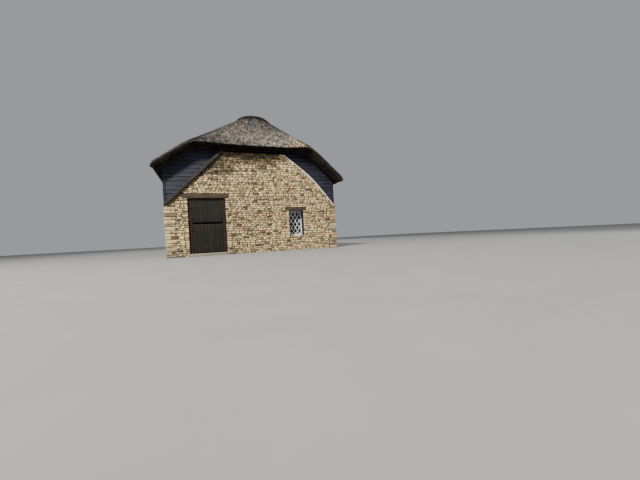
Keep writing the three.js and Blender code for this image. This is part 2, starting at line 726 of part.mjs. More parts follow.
function buildWindows() {
  buildWindow("front_window", FRONT_WINDOW_X, FRONT, 0);
  buildWindow("back_window", BACK_WINDOW_X, HALF_LENGTH, Math.PI);
  SIDE_WINDOW_YS.forEach((y, i) => {
    buildWindow(`left_window_${i + 1}`, -HALF_WIDTH, y, -Math.PI / 2);
    buildWindow(`right_window_${i + 1}`, HALF_WIDTH, y, Math.PI / 2);
  });
  const { left, right, head } = windowHole(FRONT_WINDOW_X);
  const low = [left - WINDOW_LINTEL_BEARING, FRONT, head];
  const high = [right + WINDOW_LINTEL_BEARING, FRONT + WALL, head + WINDOW_LINTEL];
  part("front_window_lintel", slab(low, high), "oak");
}

buildWalls();
buildBoarding();
buildRakeTimber();
SIDES.forEach(buildSideFrame);
buildRoofTimbers();
buildDoor();
buildWindows();
part("thatch_left_slope", thatchSlope(-1), "thatch");
part("thatch_right_slope", thatchSlope(1), "thatch");
part("thatch_front_hip", thatchHip(-1), "thatch");
part("thatch_back_hip", thatchHip(1), "thatch");
part("thatch_ridge", thatchRidge(), "ridge");

export default cottage;
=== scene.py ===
"""The looks of the thatched cottage: thatch, rubble stone, weatherboards, timber, iron and windows.

Lengths are in metres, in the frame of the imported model: +Z up, the door gable facing -Y.
"""

import math

import bmesh
import bpy
import numpy as np
from mathutils import Matrix, Vector

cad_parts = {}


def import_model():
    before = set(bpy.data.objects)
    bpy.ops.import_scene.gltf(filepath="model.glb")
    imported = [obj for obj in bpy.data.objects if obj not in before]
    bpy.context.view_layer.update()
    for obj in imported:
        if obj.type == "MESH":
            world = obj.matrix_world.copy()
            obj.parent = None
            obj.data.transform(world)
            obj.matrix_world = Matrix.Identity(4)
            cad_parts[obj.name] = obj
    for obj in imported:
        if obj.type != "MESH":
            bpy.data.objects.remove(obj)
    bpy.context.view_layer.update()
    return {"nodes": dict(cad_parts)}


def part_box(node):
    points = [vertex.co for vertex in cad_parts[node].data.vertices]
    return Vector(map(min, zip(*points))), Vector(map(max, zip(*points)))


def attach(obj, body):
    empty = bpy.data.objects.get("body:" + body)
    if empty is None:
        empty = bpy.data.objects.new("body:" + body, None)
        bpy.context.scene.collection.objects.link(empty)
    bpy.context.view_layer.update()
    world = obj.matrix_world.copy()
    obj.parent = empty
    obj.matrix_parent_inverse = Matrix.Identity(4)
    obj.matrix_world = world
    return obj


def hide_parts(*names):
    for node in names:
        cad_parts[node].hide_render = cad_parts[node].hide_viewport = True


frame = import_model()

NODES = frame["nodes"]


def node_box(name):
    """The lowest and highest corners of a node, to a tenth of a millimetre."""
    return np.round(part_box(name), 4).tolist()


def node_middle(name, axis):
    """The middle of a node along one axis."""
    low, high = node_box(name)
    return round((low[axis] + high[axis]) / 2, 4)


# The stone walls.
HALF_WIDTH, HALF_LENGTH, GABLE_TOP = node_box("back_wall")[1]
WALL_TOP = node_box("left_wall")[1][2]
WALL = 0.5
GABLE_TOP_LEFT = -1.21
GABLE_TOP_RIGHT = 1.18
KNEE_X = 2.4
KNEE_Z = 3.025
KNEE_SOFTNESS = 0.2
FLOOR_TOP = node_box("floor")[1][2]

# Each wall's outer face: its origin, the way to the right as seen from outside, and the way out.
WALLS = {
    "front": ((0, -HALF_LENGTH, 0), (1, 0, 0), (0, -1, 0)),
    "back": ((0, HALF_LENGTH, 0), (-1, 0, 0), (0, 1, 0)),
    "left": ((-HALF_WIDTH, 0, 0), (0, -1, 0), (-1, 0, 0)),
    "right": ((HALF_WIDTH, 0, 0), (0, 1, 0), (1, 0, 0)),
}

# The door and the windows, as holes in the walls.
DOOR_LEFT = node_box("door_head")[0][0]
DOOR_RIGHT, _, DOOR_HEAD = node_box("door_head")[1]
DOOR_SET_BACK = 0.057
LINTEL_LEFT = node_box("door_lintel")[0][0]
LINTEL_RIGHT, _, LINTEL_TOP = node_box("door_lintel")[1]
LINTEL_SET_BACK = 0.002
WINDOW_SILL, WINDOW_HEAD = (corner[2] for corner in node_box("front_window_frame"))
WINDOW_HALF = 0.31
WINDOW_BAR = 0.05
WINDOW_LINTEL = 0.13
WINDOW_LINTEL_BEARING = 0.15
WINDOW_SET_BACK = 0.25
FRONT_WINDOW_X = node_middle("front_window_frame", 0)
BACK_WINDOW_X = node_middle("back_window_frame", 0)
SIDE_WINDOW_YS = [node_middle(f"left_window_{number}_frame", 1) for number in (1, 2)]

# The thatch.
THATCH = 0.32
THATCH_HALF_WIDTH, THATCH_HALF_LENGTH, _ = node_box("thatch_right_slope")[1]
RIDGE_X = node_middle("thatch_ridge", 0)
RIDGE_Z = 6.14
LEFT_PITCH = math.radians(34.6)
RIGHT_PITCH = math.radians(42.1)
HIP_PITCH = math.radians(48.1)
HIP_EAVE_Z = 4.3
HIP_EAVE_SAG = 0.065
HIP_CORNER_RISE = 0.04
EAVE_SAG_REACH = 1.2
UNDERCUT = 0.15
RIDGE_SOFTNESS = 1.0
HIP_SOFTNESS = 0.35
LIP_REACH = 0.13
LIP_DROP = 0.09
CAP_HALF_WIDTH = 0.76
CAP = 0.075
CAP_SHOULDER = 0.05
CAP_SHOULDER_REACH = 0.43
CAP_OVERHANG = 0.15
CORNER_LEFT = RIDGE_X - (RIDGE_Z - HIP_EAVE_Z) / math.tan(LEFT_PITCH)
CORNER_RIGHT = RIDGE_X + (RIDGE_Z - HIP_EAVE_Z) / math.tan(RIGHT_PITCH)
RIDGE_END = THATCH_HALF_LENGTH - (RIDGE_Z - HIP_EAVE_Z) / math.tan(HIP_PITCH)
CAP_REACH = RIDGE_END + CAP_OVERHANG

# The black boarding.
GABLE_BOARDING_Y = node_box("back_gable_boarding")[1][1]
SIDE_BOARDING_X = node_box("right_side_boarding")[1][0]
BOARD_SHOWS = 0.16

# The camera, worked out from the edges of the walls, the door and the window in the photograph.
PHOTO_WIDTH = 640
FOCAL_PIXELS = 300.0
SENSOR_WIDTH = 36
CAMERA_YAW = math.radians(21.33)
CAMERA_PITCH = math.radians(0.65)
CAMERA_ROLL = math.radians(3.0)
CAMERA_PLACE = (-2.127, -16.884, 0.5)


# Small helpers for numbers and arrays of points.


def srgb(red, green, blue):
    """A colour of 0 to 255 as linear values."""
    values = [v / 255 for v in (red, green, blue)]
    return tuple(v / 12.92 if v <= 0.04045 else ((v + 0.055) / 1.055) ** 2.4 for v in values)


def fraction(value):
    """Values held between 0 and 1."""
    return np.clip(value, 0, 1)


def unit(vectors, least=0.0):
    """Vectors of length 1. least keeps a vector without length from a division by zero."""
    return vectors / (np.linalg.norm(vectors, axis=-1, keepdims=True) + least)


def spots(x, y, z=0.0):
    """Points from their coordinates, any of which may be one number for all."""
    return np.stack(np.broadcast_arrays(x, y, z), axis=-1)


def soft_min(a, b, softness):
    """The lower of two heights, with a soft turn where they are close."""
    near = np.maximum(softness - np.abs(a - b), 0) / softness
    return np.minimum(a, b) - near * near * softness / 4


def hashed(corner, seed):
    """A repeatable value from 0 to 1 for each whole-number corner."""
    mix = corner[..., 0] * 73856093 ^ corner[..., 1] * 19349663 ^ corner[..., 2] * 83492791
    mix = (mix ^ (seed * 40503 + 977)) & 0xFFFFFFFF
    mix = (mix ^ (mix >> 15)) * 2246822519 & 0xFFFFFFFF
    mix = (mix ^ (mix >> 13)) * 3266489917 & 0xFFFFFFFF
    return ((mix ^ (mix >> 16)) & 0xFFFFFFFF) / 4294967295


def smooth_noise(points, seed=0):
    """Smooth noise from -1 to 1 that changes over about one unit."""
    points = np.asarray(points, float)
    base = np.floor(points).astype(np.int64)
    part = points - base
    part = part * part * (3 - 2 * part)
    total = np.zeros(points.shape[:-1])
    for corner in np.ndindex(2, 2, 2):
        offset = np.array(corner)
        weight = np.where(offset == 1, part, 1 - part).prod(axis=-1)
        total += weight * hashed(base + offset, seed)
    return 2 * total - 1


def rough_noise(points, seed=0, layers=3):
    """Layers of smooth noise, each half the size and strength of the one before."""
    points = np.asarray(points, float)
    return sum(smooth_noise(points * 2**layer, seed + layer) / 2**layer for layer in range(layers))


def noise_vectors(points, scale, seed):
    """A direction and strength of push for each point."""
    return np.stack([rough_noise(points * scale, seed + axis) for axis in range(3)], axis=1)


# Meshes from arrays.


class Heap:
    """Points and faces gathered for one mesh, with a colour for each face."""

    def __init__(self):
        self.points = []
        self.corners = []
        self.sizes = []
        self.tints = []
        self.count = 0

    def add(self, points, face_sets, tint=(1.0, 1.0, 1.0)):
        """Adds faces. A face set is an array with one row of point numbers for each face, and tint is
        one colour, or one for each face of a single set."""
        for faces in face_sets:
            faces = np.asarray(faces)
            tints = np.broadcast_to(np.asarray(tint, float), (len(faces), 3))
            self.corners.append((faces + self.count).ravel())
            self.sizes.append(np.full(len(faces), faces.shape[1]))
            self.tints.append(np.repeat(tints, faces.shape[1], axis=0))
        self.points.append(np.asarray(points, float))
        self.count += len(points)

    def make(self, name, material, slot, replaced=(), body="cottage", smooth=False):
        """Turns the heap into one piece that rides on a body."""
        points, corners, sizes, tints = (
            np.concatenate(rows) for rows in (self.points, self.corners, self.sizes, self.tints)
        )
        mesh = bpy.data.meshes.new(name)
        mesh.vertices.add(len(points))
        mesh.vertices.foreach_set("co", points.astype(np.float32).ravel())
        mesh.loops.add(len(corners))
        mesh.loops.foreach_set("vertex_index", corners.astype(np.int32))
        mesh.polygons.add(len(sizes))
        starts = np.concatenate([[0], np.cumsum(sizes)[:-1]])
        mesh.polygons.foreach_set("loop_start", starts.astype(np.int32))
        mesh.update(calc_edges=True)
        colour = mesh.attributes.new("tint", "FLOAT_COLOR", "CORNER")
        full = np.concatenate([tints, np.ones((len(tints), 1))], axis=1)
        colour.data.foreach_set("color", full.astype(np.float32).ravel())
        mesh.polygons.foreach_set("use_smooth", np.full(len(sizes), smooth))
        return place(name, mesh, material, replaced, body)


def place(name, mesh, material, replaced=(), body="cottage"):
    """Puts a mesh in the scene as one piece of the cottage."""
    piece = bpy.data.objects.new(name, mesh)
    bpy.context.scene.collection.objects.link(piece)
    mesh.materials.clear()
    mesh.materials.append(material)
    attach(piece, body)
    if replaced:
        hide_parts(*replaced)
    return piece


def finish_node(name, material):
    """Gives a node that keeps its CAD shape its finished material."""
    mesh = NODES[name].data
    mesh.materials.clear()
    mesh.materials.append(material)


def grid_faces(rows, columns):
    """Faces of a grid of points, row after row."""
    index = np.arange(rows * columns).reshape(rows, columns)
    quads = [index[:-1, :-1], index[:-1, 1:], index[1:, 1:], index[1:, :-1]]
    return np.stack(quads, axis=-1).reshape(-1, 4)


def belt_faces(count, low=0):
    """Faces between two rings of count points. The first ring starts at the point low."""
    around = np.arange(count)
    after = (around + 1) % count
    return np.stack([around, after, after + count, around + count], axis=1) + low


def fan_faces(count, low, tip):
    """Triangles from a ring of count points, which starts at the point low, to the point tip."""
    around = np.arange(count)
    return np.stack([around + low, (around + 1) % count + low, np.full(count, tip)], axis=1)


def tube_faces(rings, sides):
    """Faces along a row of rings, side after side, and the faces of its two ends."""
    index = np.arange(rings * sides).reshape(rings, sides)
    after = np.roll(index, -1, axis=1)
    quads = np.stack([index[:-1], index[1:], after[1:], after[:-1]], axis=-1)
    return quads.transpose(1, 0, 2).reshape(-1, 4), np.stack([index[0, ::-1], index[-1]])


def bar(heap, start, end, across, up, chamfer=0.004, tint=(1.0, 1.0, 1.0)):
    """A bar from start to end with its long edges cut off. across and up are half-size vectors."""
    start, end, across, up = (np.asarray(v, float) for v in (start, end, across, up))
    in_across = across * (1 - chamfer / np.linalg.norm(across))
    in_up = up * (1 - chamfer / np.linalg.norm(up))
    upper_half = [in_across + up, -in_across + up, -across + in_up, -across - in_up]
    lower_half = [-in_across - up, in_across - up, across - in_up, across + in_up]
    ring = np.array(upper_half + lower_half)
    if np.dot(np.cross(across, up), end - start) < 0:
        ring = ring[::-1]
    around = np.arange(len(ring))
    caps = np.array([around[::-1], around + len(ring)])
    heap.add(np.concatenate([start + ring, end + ring]), [belt_faces(len(ring)), caps], tint)


def upright_bar(heap, low, high, chamfer, tint):
    """An upright bar that fills a box."""
    low, high = np.asarray(low, float), np.asarray(high, float)
    middle, half = (low + high) / 2, (high - low) / 2
    across, up, reach = np.eye(3) * half
    bar(heap, middle - reach, middle + reach, across, up, chamfer, tint)


def nail_head(heap, centre, outward, radius):
    """A low domed nail head."""
    count = 8
    outward = np.asarray(outward, float)
    first = np.cross(outward, [0.0, 0.0, 1.0])
    second = np.cross(outward, first)
    turns = np.arange(count) * math.tau / count
    ring = np.outer(np.cos(turns), first) + np.outer(np.sin(turns), second)
    edge = centre + ring * radius
    brow = centre + ring * radius * 0.6 + outward * radius * 0.35
    crown = (np.asarray(centre) + outward * radius * 0.5)[None]
    sides = belt_faces(count)[:, ::-1]
    top = fan_faces(count, count, 2 * count)[:, ::-1]
    heap.add(np.concatenate([edge, brow, crown]), [sides, top])


def block(heap, low, high, radius=0.006, steps=(1, 1, 1), wobble=0.0, seed=0, tint=(1.0, 1.0, 1.0)):
    """A box with rounded edges, its faces split into steps and pushed about by wobble."""
    low, high = np.asarray(low, float), np.asarray(high, float)
    stops = []
    for axis in range(3):
        inner = np.linspace(low[axis] + radius, high[axis] - radius, steps[axis] + 1)
        stops.append(np.concatenate([[low[axis]], inner, [high[axis]]]))
    points, faces, count = [], [], 0
    for axis in range(3):
        first, second = (axis + 1) % 3, (axis + 2) % 3
        a, b = np.meshgrid(stops[first], stops[second], indexing="ij")
        for value, turn in ((low[axis], 1), (high[axis], -1)):
            sheet = np.empty((a.size, 3))
            sheet[:, first] = a.ravel()
            sheet[:, second] = b.ravel()
            sheet[:, axis] = value
            points.append(sheet)
            faces.append(grid_faces(*a.shape)[:, ::turn] + count)
            count += len(sheet)
    points = np.concatenate(points)
    core = np.clip(points, low + radius, high - radius)
    offset = points - core
    size = np.linalg.norm(offset, axis=1, keepdims=True)
    points = core + offset / np.maximum(size, 1e-9) * np.minimum(size, radius)
    if wobble:
        points = points + wobble * noise_vectors(points, 6, seed)
    merged, index = np.unique(np.round(points, 6), axis=0, return_inverse=True)
    heap.add(merged, [index.ravel()[np.concatenate(faces)]], tint)


def face_at(origin, u_axis, outward):
    """A function from a place (u, z) on a wall's face, and a distance out from it, to a point."""
    origin, u_axis, outward = (np.array(v, float) for v in (origin, u_axis, outward))
    up = np.array([0.0, 0.0, 1.0])

    def world(u, z, out):
        u, z, out = np.broadcast_arrays(u, z, out)
        return origin + u[..., None] * u_axis + z[..., None] * up + out[..., None] * outward

    return world


# Materials.


class Finish:
    """A node material under construction. Its values are sockets, numbers or colours."""

    def __init__(self, name, roughness=0.9, metallic=0.0, specular=0.3):
        self.material = bpy.data.materials.new(name)
        self.material.use_nodes = True
        self.nodes = self.material.node_tree.nodes
        self.links = self.material.node_tree.links
        self.surface = self.nodes["Principled BSDF"].inputs
        self.surface["Roughness"].default_value = roughness
        self.surface["Metallic"].default_value = metallic
        self.surface["Specular IOR Level"].default_value = specular
        self.spot = self.node("TexCoord").outputs["Object"]

    def feed(self, socket, value):
        """Links a socket to an input, or sets the input's value."""
        if isinstance(value, bpy.types.NodeSocket):
            self.links.new(value, socket)
        elif socket.type == "RGBA":
            socket.default_value = (*value, 1.0)
        else:
            socket.default_value = value

    def node(self, kind, **inputs):
        """A new node with the named inputs fed."""
        node = self.nodes.new(f"ShaderNode{kind}")
        for name, value in inputs.items():
            self.feed(node.inputs[name], value)
        return node

    def noise(self, scale, detail=4.0, stretch=None, distortion=0.0):
        """Noise over the object, squeezed along each axis by stretch."""
        spot = self.spot
        if stretch:
            spot = self.node("Mapping", Vector=spot, Scale=stretch).outputs["Vector"]
        levels = {"Scale": scale, "Detail": detail, "Distortion": distortion, "Roughness": 0.55}
        return self.node("TexNoise", Vector=spot, **levels).outputs["Fac"]

    def ramp(self, value, *stops):
        """Turns a value into a colour. A stop is a pair of a level and the colour, or grey, there."""
        node = self.node("ValToRGB", Fac=value)
        elements = node.color_ramp.elements
        while len(elements) < len(stops):
            elements.new(0.5)
        for element, (position, colour) in zip(elements, stops):
            element.position = position
            element.color = (*colour, 1.0) if isinstance(colour, tuple) else (colour, colour, colour, 1.0)
        return node.outputs["Color"]

    def mix(self, share, first, second, kind="MIX"):
        """Mixes two colours by share."""
        node = self.node("Mix")
        node.data_type = "RGBA"
        node.blend_type = kind
        for number, value in ((0, share), (6, first), (7, second)):
            self.feed(node.inputs[number], value)
        return node.outputs[2]

    def times(self, first, second, share=1.0):
        """Multiplies two colours."""
        return self.mix(share, first, second, "MULTIPLY")

    def maths(self, operation, *values):
        """A sum on one or two numbers."""
        node = self.node("Math")
        node.operation = operation
        for socket, value in zip(node.inputs, values):
            self.feed(socket, value)
        return node.outputs[0]

    def tint(self):
        """The colour that the mesh gives each face."""
        node = self.node("Attribute")
        node.attribute_name = "tint"
        return node.outputs["Color"]

    def rough(self, value):
        """Lets the roughness vary over the surface."""
        self.feed(self.surface["Roughness"], value)

    def done(self, colour, *bumps):
        """The finished material. A bump is a pair of a height and the distance that it stands for."""
        self.feed(self.surface["Base Color"], colour)
        normal = None
        for height, distance in bumps:
            node = self.node("Bump", Distance=distance, Height=height)
            if normal:
                self.links.new(normal, node.inputs["Normal"])
            normal = node.outputs["Normal"]
        if normal:
            self.links.new(normal, self.surface["Normal"])
        return self.material


def stone_finish():
    """Weathered golden limestone. Each stone's own colour is its tint."""
    finish = Finish("rubble_stone")
    colour = finish.times(finish.tint(), finish.ramp(finish.noise(9, 5), (0.3, 0.66), (0.58, 1.12)))
    grains = finish.ramp(finish.noise(70, 3), (0.35, 0.72), (0.65, 1.12))
    colour = finish.mix(0.7, colour, finish.times(colour, grains))
    lichen = finish.ramp(finish.noise(14, 6, distortion=0.6), (0.6, 0.0), (0.72, 0.75))
    colour = finish.mix(lichen, colour, srgb(210, 192, 160))
    moss = finish.ramp(finish.noise(2.2, 7, distortion=0.8), (0.56, 0.0), (0.74, 0.3))
    colour = finish.mix(moss, colour, srgb(104, 96, 56))
    return finish.done(colour, (finish.noise(22, 4), 0.012), (finish.noise(110, 3), 0.004))


def mortar_finish():
    """Lime mortar between the stones, and rough limewash on the faces inside the room."""
    finish = Finish("lime_mortar")
    blotches = finish.noise(5, 6)
    mortar = finish.ramp(blotches, (0.3, srgb(70, 61, 46)), (0.7, srgb(120, 108, 85)))
    limewash = finish.ramp(blotches, (0.25, srgb(176, 168, 148)), (0.7, srgb(214, 208, 192)))
    split = finish.node("SeparateXYZ", Vector=finish.spot).outputs
    within = []
    for axis, half in (("X", HALF_WIDTH), ("Y", HALF_LENGTH)):
        distance = finish.maths("ABSOLUTE", split[axis])
        within.append(finish.maths("LESS_THAN", distance, half - WALL + 0.02))
    colour = finish.mix(finish.maths("MULTIPLY", *within), mortar, limewash)
    return finish.done(colour, (finish.noise(9, 6), 0.03), (finish.noise(80, 3), 0.005))


def lime_finish():
    """Fresh cream lime mortar along the rakes."""
    finish = Finish("cream_lime")
    colour = finish.ramp(finish.noise(12, 6), (0.3, srgb(214, 200, 166)), (0.7, srgb(246, 238, 214)))
    return finish.done(colour, (finish.noise(30, 5), 0.01), (finish.noise(120, 3), 0.003))


def flag_finish():
    """Worn flagstones, darker where feet have polished them."""
    finish = Finish("flagstones")
    colour = finish.times(finish.tint(), finish.ramp(finish.noise(6, 6), (0.3, 0.7), (0.7, 1.1)))
    finish.rough(finish.ramp(finish.noise(4, 3), (0.3, 0.5), (0.7, 0.85)))
    return finish.done(colour, (finish.noise(14, 5), 0.006), (finish.noise(90, 3), 0.002))


def thatch_finish(name, dark, light, along):
    """Weathered thatch: its streaks run along the slope, and patches of lichen dull it."""
    finish = Finish(name, roughness=0.95, specular=0.15)
    stretch = {"x": (3.0, 60.0, 10.0), "y": (60.0, 3.0, 10.0)}[along]
    streaks = finish.noise(1.0, 5, stretch=stretch, distortion=0.3)
    straw = finish.ramp(streaks, (0.25, dark), (0.72, light))
    patches = finish.ramp(finish.noise(1.6, 6, distortion=0.5), (0.3, 0.72), (0.7, 1.18))
    colour = finish.times(finish.times(straw, patches), finish.tint())
    return finish.done(colour, (streaks, 0.03), (finish.noise(55, 4), 0.015))


def straw_finish():
    """Single straws: the colour of each is its tint."""
    finish = Finish("straw", roughness=0.85, specular=0.2)
    lichen = finish.ramp(finish.noise(2.6, 6, distortion=0.5), (0.35, 0.75), (0.7, 1.2))
    fibres = finish.ramp(finish.noise(140, 2), (0.3, 0.8), (0.7, 1.1))
    colour = finish.times(finish.times(finish.tint(), lichen), fibres)
    return finish.done(colour, (finish.noise(260, 2), 0.001))


def wood_finish(name, dark, light, along, wear=0.25, tinted=False):
    """Timber with its grain along one axis, cracks, and paler worn patches."""
    finish = Finish(name, roughness=0.8)
    axis = "xyz".index(along)
    broad, fine = [14.0] * 3, [60.0] * 3
    broad[axis], fine[axis] = 1.0, 2.0
    grain = finish.noise(2.2, 6, stretch=broad, distortion=0.9)
    fibres = finish.noise(3.0, 3, stretch=fine)
    colour = finish.ramp(grain, (0.3, dark), (0.68, light))
    colour = finish.times(colour, finish.ramp(fibres, (0.3, 0.5), (0.7, 1.4)), 0.5)
    worn = finish.ramp(finish.noise(5, 5), (0.52, 0.0), (0.75, wear))
    colour = finish.mix(worn, colour, tuple(min(1.0, 2.2 * v) for v in light))
    if tinted:
        colour = finish.times(colour, finish.tint())
    return finish.done(colour, (grain, 0.008), (fibres, 0.003))


def tarred_finish():
    """Boards under old black tar, with paler, weathered grain and a faint sheen from their gloss. The blue
    and lavender of the colour are a painted reflection of the sky.
    """
    finish = Finish("black_tar", specular=0.35)
    grain = finish.noise(2.0, 6, stretch=(1.2, 1.2, 30.0), distortion=0.7)
    fibres = finish.noise(3.0, 3, stretch=(3.0, 3.0, 90.0))
    # The blue of these stops is a painted reflection of the sky.
    colour = finish.ramp(grain, (0.3, srgb(15, 16, 22)), (0.62, srgb(30, 31, 43)), (0.8, srgb(64, 66, 90)))
    finish.rough(finish.ramp(grain, (0.3, 0.38), (0.7, 0.7)))
    return finish.done(finish.times(colour, finish.tint()), (grain, 0.006), (fibres, 0.002))


def iron_finish():
    """Hand-forged iron with old rust."""
    finish = Finish("forged_iron", metallic=0.6, specular=0.5)
    rust = finish.ramp(finish.noise(24, 6), (0.48, 0.0), (0.62, 0.9))
    finish.rough(finish.ramp(finish.noise(18, 4), (0.3, 0.45), (0.7, 0.85)))
    colour = finish.mix(rust, srgb(42, 41, 42), srgb(84, 52, 36))
    return finish.done(colour, (finish.noise(60, 4), 0.002), (finish.noise(14, 3), 0.002))


def paint_finish():
    """White gloss paint, chalky with age, with grime in patches."""
    finish = Finish("white_paint", specular=0.4)
    grime = finish.ramp(finish.noise(7, 6, distortion=0.4), (0.5, 0.0), (0.78, 0.6))
    finish.rough(finish.ramp(finish.noise(9, 4), (0.3, 0.4), (0.7, 0.7)))
    colour = finish.mix(grime, srgb(244, 244, 240), srgb(172, 170, 158))
    brush_marks = finish.noise(3.0, 3, stretch=(30.0, 30.0, 3.0))
    return finish.done(colour, (brush_marks, 0.001), (finish.noise(120, 2), 0.0006))


def glass_finish():
    """Old dark glass with a slight ripple."""
    finish = Finish("old_glass", roughness=0.06, specular=0.5)
    finish.surface["Transmission Weight"].default_value = 0.35
    dust = finish.ramp(finish.noise(8, 5), (0.45, 0.0), (0.8, 0.3))
    colour = finish.mix(dust, srgb(24, 28, 32), srgb(70, 74, 72))
    return finish.done(colour, (finish.noise(9, 2), 0.002))


STONE = stone_finish()
MORTAR = mortar_finish()
FLAGS = flag_finish()
COAT = thatch_finish("thatch_coat", srgb(74, 69, 65), srgb(150, 143, 135), "x")
HIP_COAT = thatch_finish("thatch_hip_coat", srgb(74, 69, 65), srgb(150, 143, 135), "y")
RIDGE = thatch_finish("thatch_ridge_coat", srgb(52, 48, 44), srgb(108, 101, 93), "x")
STRAW = straw_finish()
TAR = tarred_finish()
IRON = iron_finish()
PAINT = paint_finish()
GLASS = glass_finish()
OAK = {axis: wood_finish(f"oak_{axis}", srgb(70, 60, 50), srgb(128, 114, 98), axis) for axis in "xy"}
OLD_PAINT = {
    axis: wood_finish(f"red_brown_{axis}", srgb(24, 18, 15), srgb(50, 35, 27), axis, wear=0.3)
    for axis in "xz"
}
# Its own dark weathered wood, darkened further as painted shade.
RAKE_WOOD = wood_finish("rake_wood", srgb(26, 23, 22), srgb(62, 56, 54), "x")
LINTEL_WOOD = wood_finish("lintel_wood", srgb(40, 35, 30), srgb(84, 72, 58), "x", wear=0.3)
RAKE_LIME = lime_finish()
# The planks' own weathered grey-brown, darkened further as painted shade.
PLANKS = wood_finish("door_planks", srgb(17, 17, 13), srgb(38, 37, 29), "z", wear=0.08, tinted=True)


# The shapes that the model's walls and roof share.


def gable_top(x):
    """Height of the stone gable's upper edge, which turns down at a knee on its right side."""
    x = np.asarray(x, float)
    left = WALL_TOP + (x + HALF_WIDTH) / (GABLE_TOP_LEFT + HALF_WIDTH) * (GABLE_TOP - WALL_TOP)
    upper = KNEE_Z + (x - KNEE_X) * (KNEE_Z - GABLE_TOP) / (KNEE_X - GABLE_TOP_RIGHT)
    lower = KNEE_Z + (x - KNEE_X) * (WALL_TOP - KNEE_Z) / (HALF_WIDTH - KNEE_X)
    right = soft_min(upper, lower, KNEE_SOFTNESS)
    return np.where(x < GABLE_TOP_LEFT, left, np.where(x <= GABLE_TOP_RIGHT, GABLE_TOP, right))


RAKE_XS = np.linspace(-HALF_WIDTH, HALF_WIDTH, 400)
RAKE_ZS = gable_top(RAKE_XS)


def rake_left(z):
    """Where the left rake of the front gable reaches the height z."""
    rising = RAKE_XS <= GABLE_TOP_LEFT
    return np.interp(z, RAKE_ZS[rising], RAKE_XS[rising])


def rake_right(z):
    """Where the right rake of the front gable reaches the height z."""
    falling = RAKE_XS >= GABLE_TOP_RIGHT
    return np.interp(z, RAKE_ZS[falling][::-1], RAKE_XS[falling][::-1])


def left_plane(x, under=0.0):
    """Height of the left slope's outer plane, or of the plane a distance under it."""
    return RIDGE_Z + (x - RIDGE_X) * math.tan(LEFT_PITCH) - under / math.cos(LEFT_PITCH)


def right_plane(x, under=0.0):
    """The same for the right slope."""
    return RIDGE_Z - (x - RIDGE_X) * math.tan(RIGHT_PITCH) - under / math.cos(RIGHT_PITCH)


def hip_plane(y, under=0.0):
    """The same for both hips."""
    rise = (THATCH_HALF_LENGTH - np.abs(y)) * math.tan(HIP_PITCH)
    return HIP_EAVE_Z + rise - under / math.cos(HIP_PITCH)


def under_limits(z):
    """Where the underside of the two slopes comes down to the height z."""
    left = RIDGE_X + (z + THATCH / math.cos(LEFT_PITCH) - RIDGE_Z) / math.tan(LEFT_PITCH)
    right = RIDGE_X - (z + THATCH / math.cos(RIGHT_PITCH) - RIDGE_Z) / math.tan(RIGHT_PITCH)
    return left, right


def eave_sag(x, y):
    """How far each hip's eave hangs down at its middle and turns up towards its corners."""
    middle = (CORNER_LEFT + CORNER_RIGHT) / 2
    across = np.minimum(1, np.abs(x - middle) / (CORNER_RIGHT - middle))
    up = np.minimum(1, (THATCH_HALF_LENGTH - np.abs(y)) / EAVE_SAG_REACH)
    return (HIP_EAVE_SAG * (1 - across**2) - HIP_CORNER_RISE * across) * (1 - up)


def slopes_top(x):
    """Height of the two slopes with the soft turn between them."""
    return soft_min(left_plane(x), right_plane(x), RIDGE_SOFTNESS)


def lip_drop(distance):
    """How far the surface has turned down at a distance from the thatch's edge."""
    share = 1 - fraction(distance / LIP_REACH)
    return LIP_DROP * (1 - np.sqrt(1 - share**2))


def thatch_top(x, y):
    """Height of the thatch's outer surface, with its rounded lips."""
    top = soft_min(slopes_top(x), hip_plane(y) - eave_sag(x, y), HIP_SOFTNESS)
    drop = lip_drop(THATCH_HALF_WIDTH - np.abs(x)) + lip_drop(THATCH_HALF_LENGTH - np.abs(y))
    return top - drop


def thatch_under(x, y):
    """Height of the thatch's underside."""
    slopes = np.minimum(left_plane(x, THATCH), right_plane(x, THATCH))
    return np.minimum(slopes, hip_plane(y, THATCH))


def on_hip(x, y):
    """How much a point belongs to a hip, from 0 to 1."""
    return fraction(0.5 + (slopes_top(x) - hip_plane(y)) / HIP_SOFTNESS)


# Thatch.

# The straw of a hip fans out from a point above the ridge's end.
FAN_BACK = 1.6
FAN_SPREAD = 0.55

# The coat's unevenness, and the grid that it is drawn on.
SWELLS = 0.022
LUMPS = 0.008
GROOVES = 0.009
LIP_TURN = (0.0, 0.012, 0.03, 0.06, 0.095)
COAT_STEP = 0.041
UNDER_EVERY = 4
EDGE_RINGS = 6
EDGE_BULGE = 0.012
CAP_GRID = (48, 190)
CAP_RAGGED = 0.012
CAP_PROUD = 0.012
CAP_SUNK = 0.03

# Where the hips and the verges are lighter or darker, as places in plan.
HIP_HIGH_Y = 4.65
HIP_LEFT_X = -0.5
HIP_RIGHT_X = 0.5
HIP_CORNER_X = -1.5
HIP_TIP_X = CORNER_RIGHT - 0.36
HIP_TIP_Y = 4.8
VERGE_Y = 4.7
VERGE_LEFT_X = -1.2
NEWER_X = 1.1
NEWER_Y = 4.4
# Under the hips, out beyond this, the cut edge gets painted shade.
UNDER_HIP_Y = 4.9

# Sizes of the straws, each from least to most.
STRAW_LENGTHS = (0.05, 0.17)
STRAW_WIDTHS = (0.006, 0.011)
STRAW_LIFTS = (0.04, 0.24)
STRAW_SWERVE = 0.16
CUT_LENGTHS = (0.02, 0.036)
CUT_WIDTHS = (0.005, 0.009)
CUT_STRAWS = 26000
CUT_SUNK = 0.012
RIDGE_STRAWS = 15000
RIDGE_STRAW_REACH = (0.93, 0.985)
OVERSHOOT = 0.012
STRAW_INSET = 0.01
STRAW_SUNK = 0.003
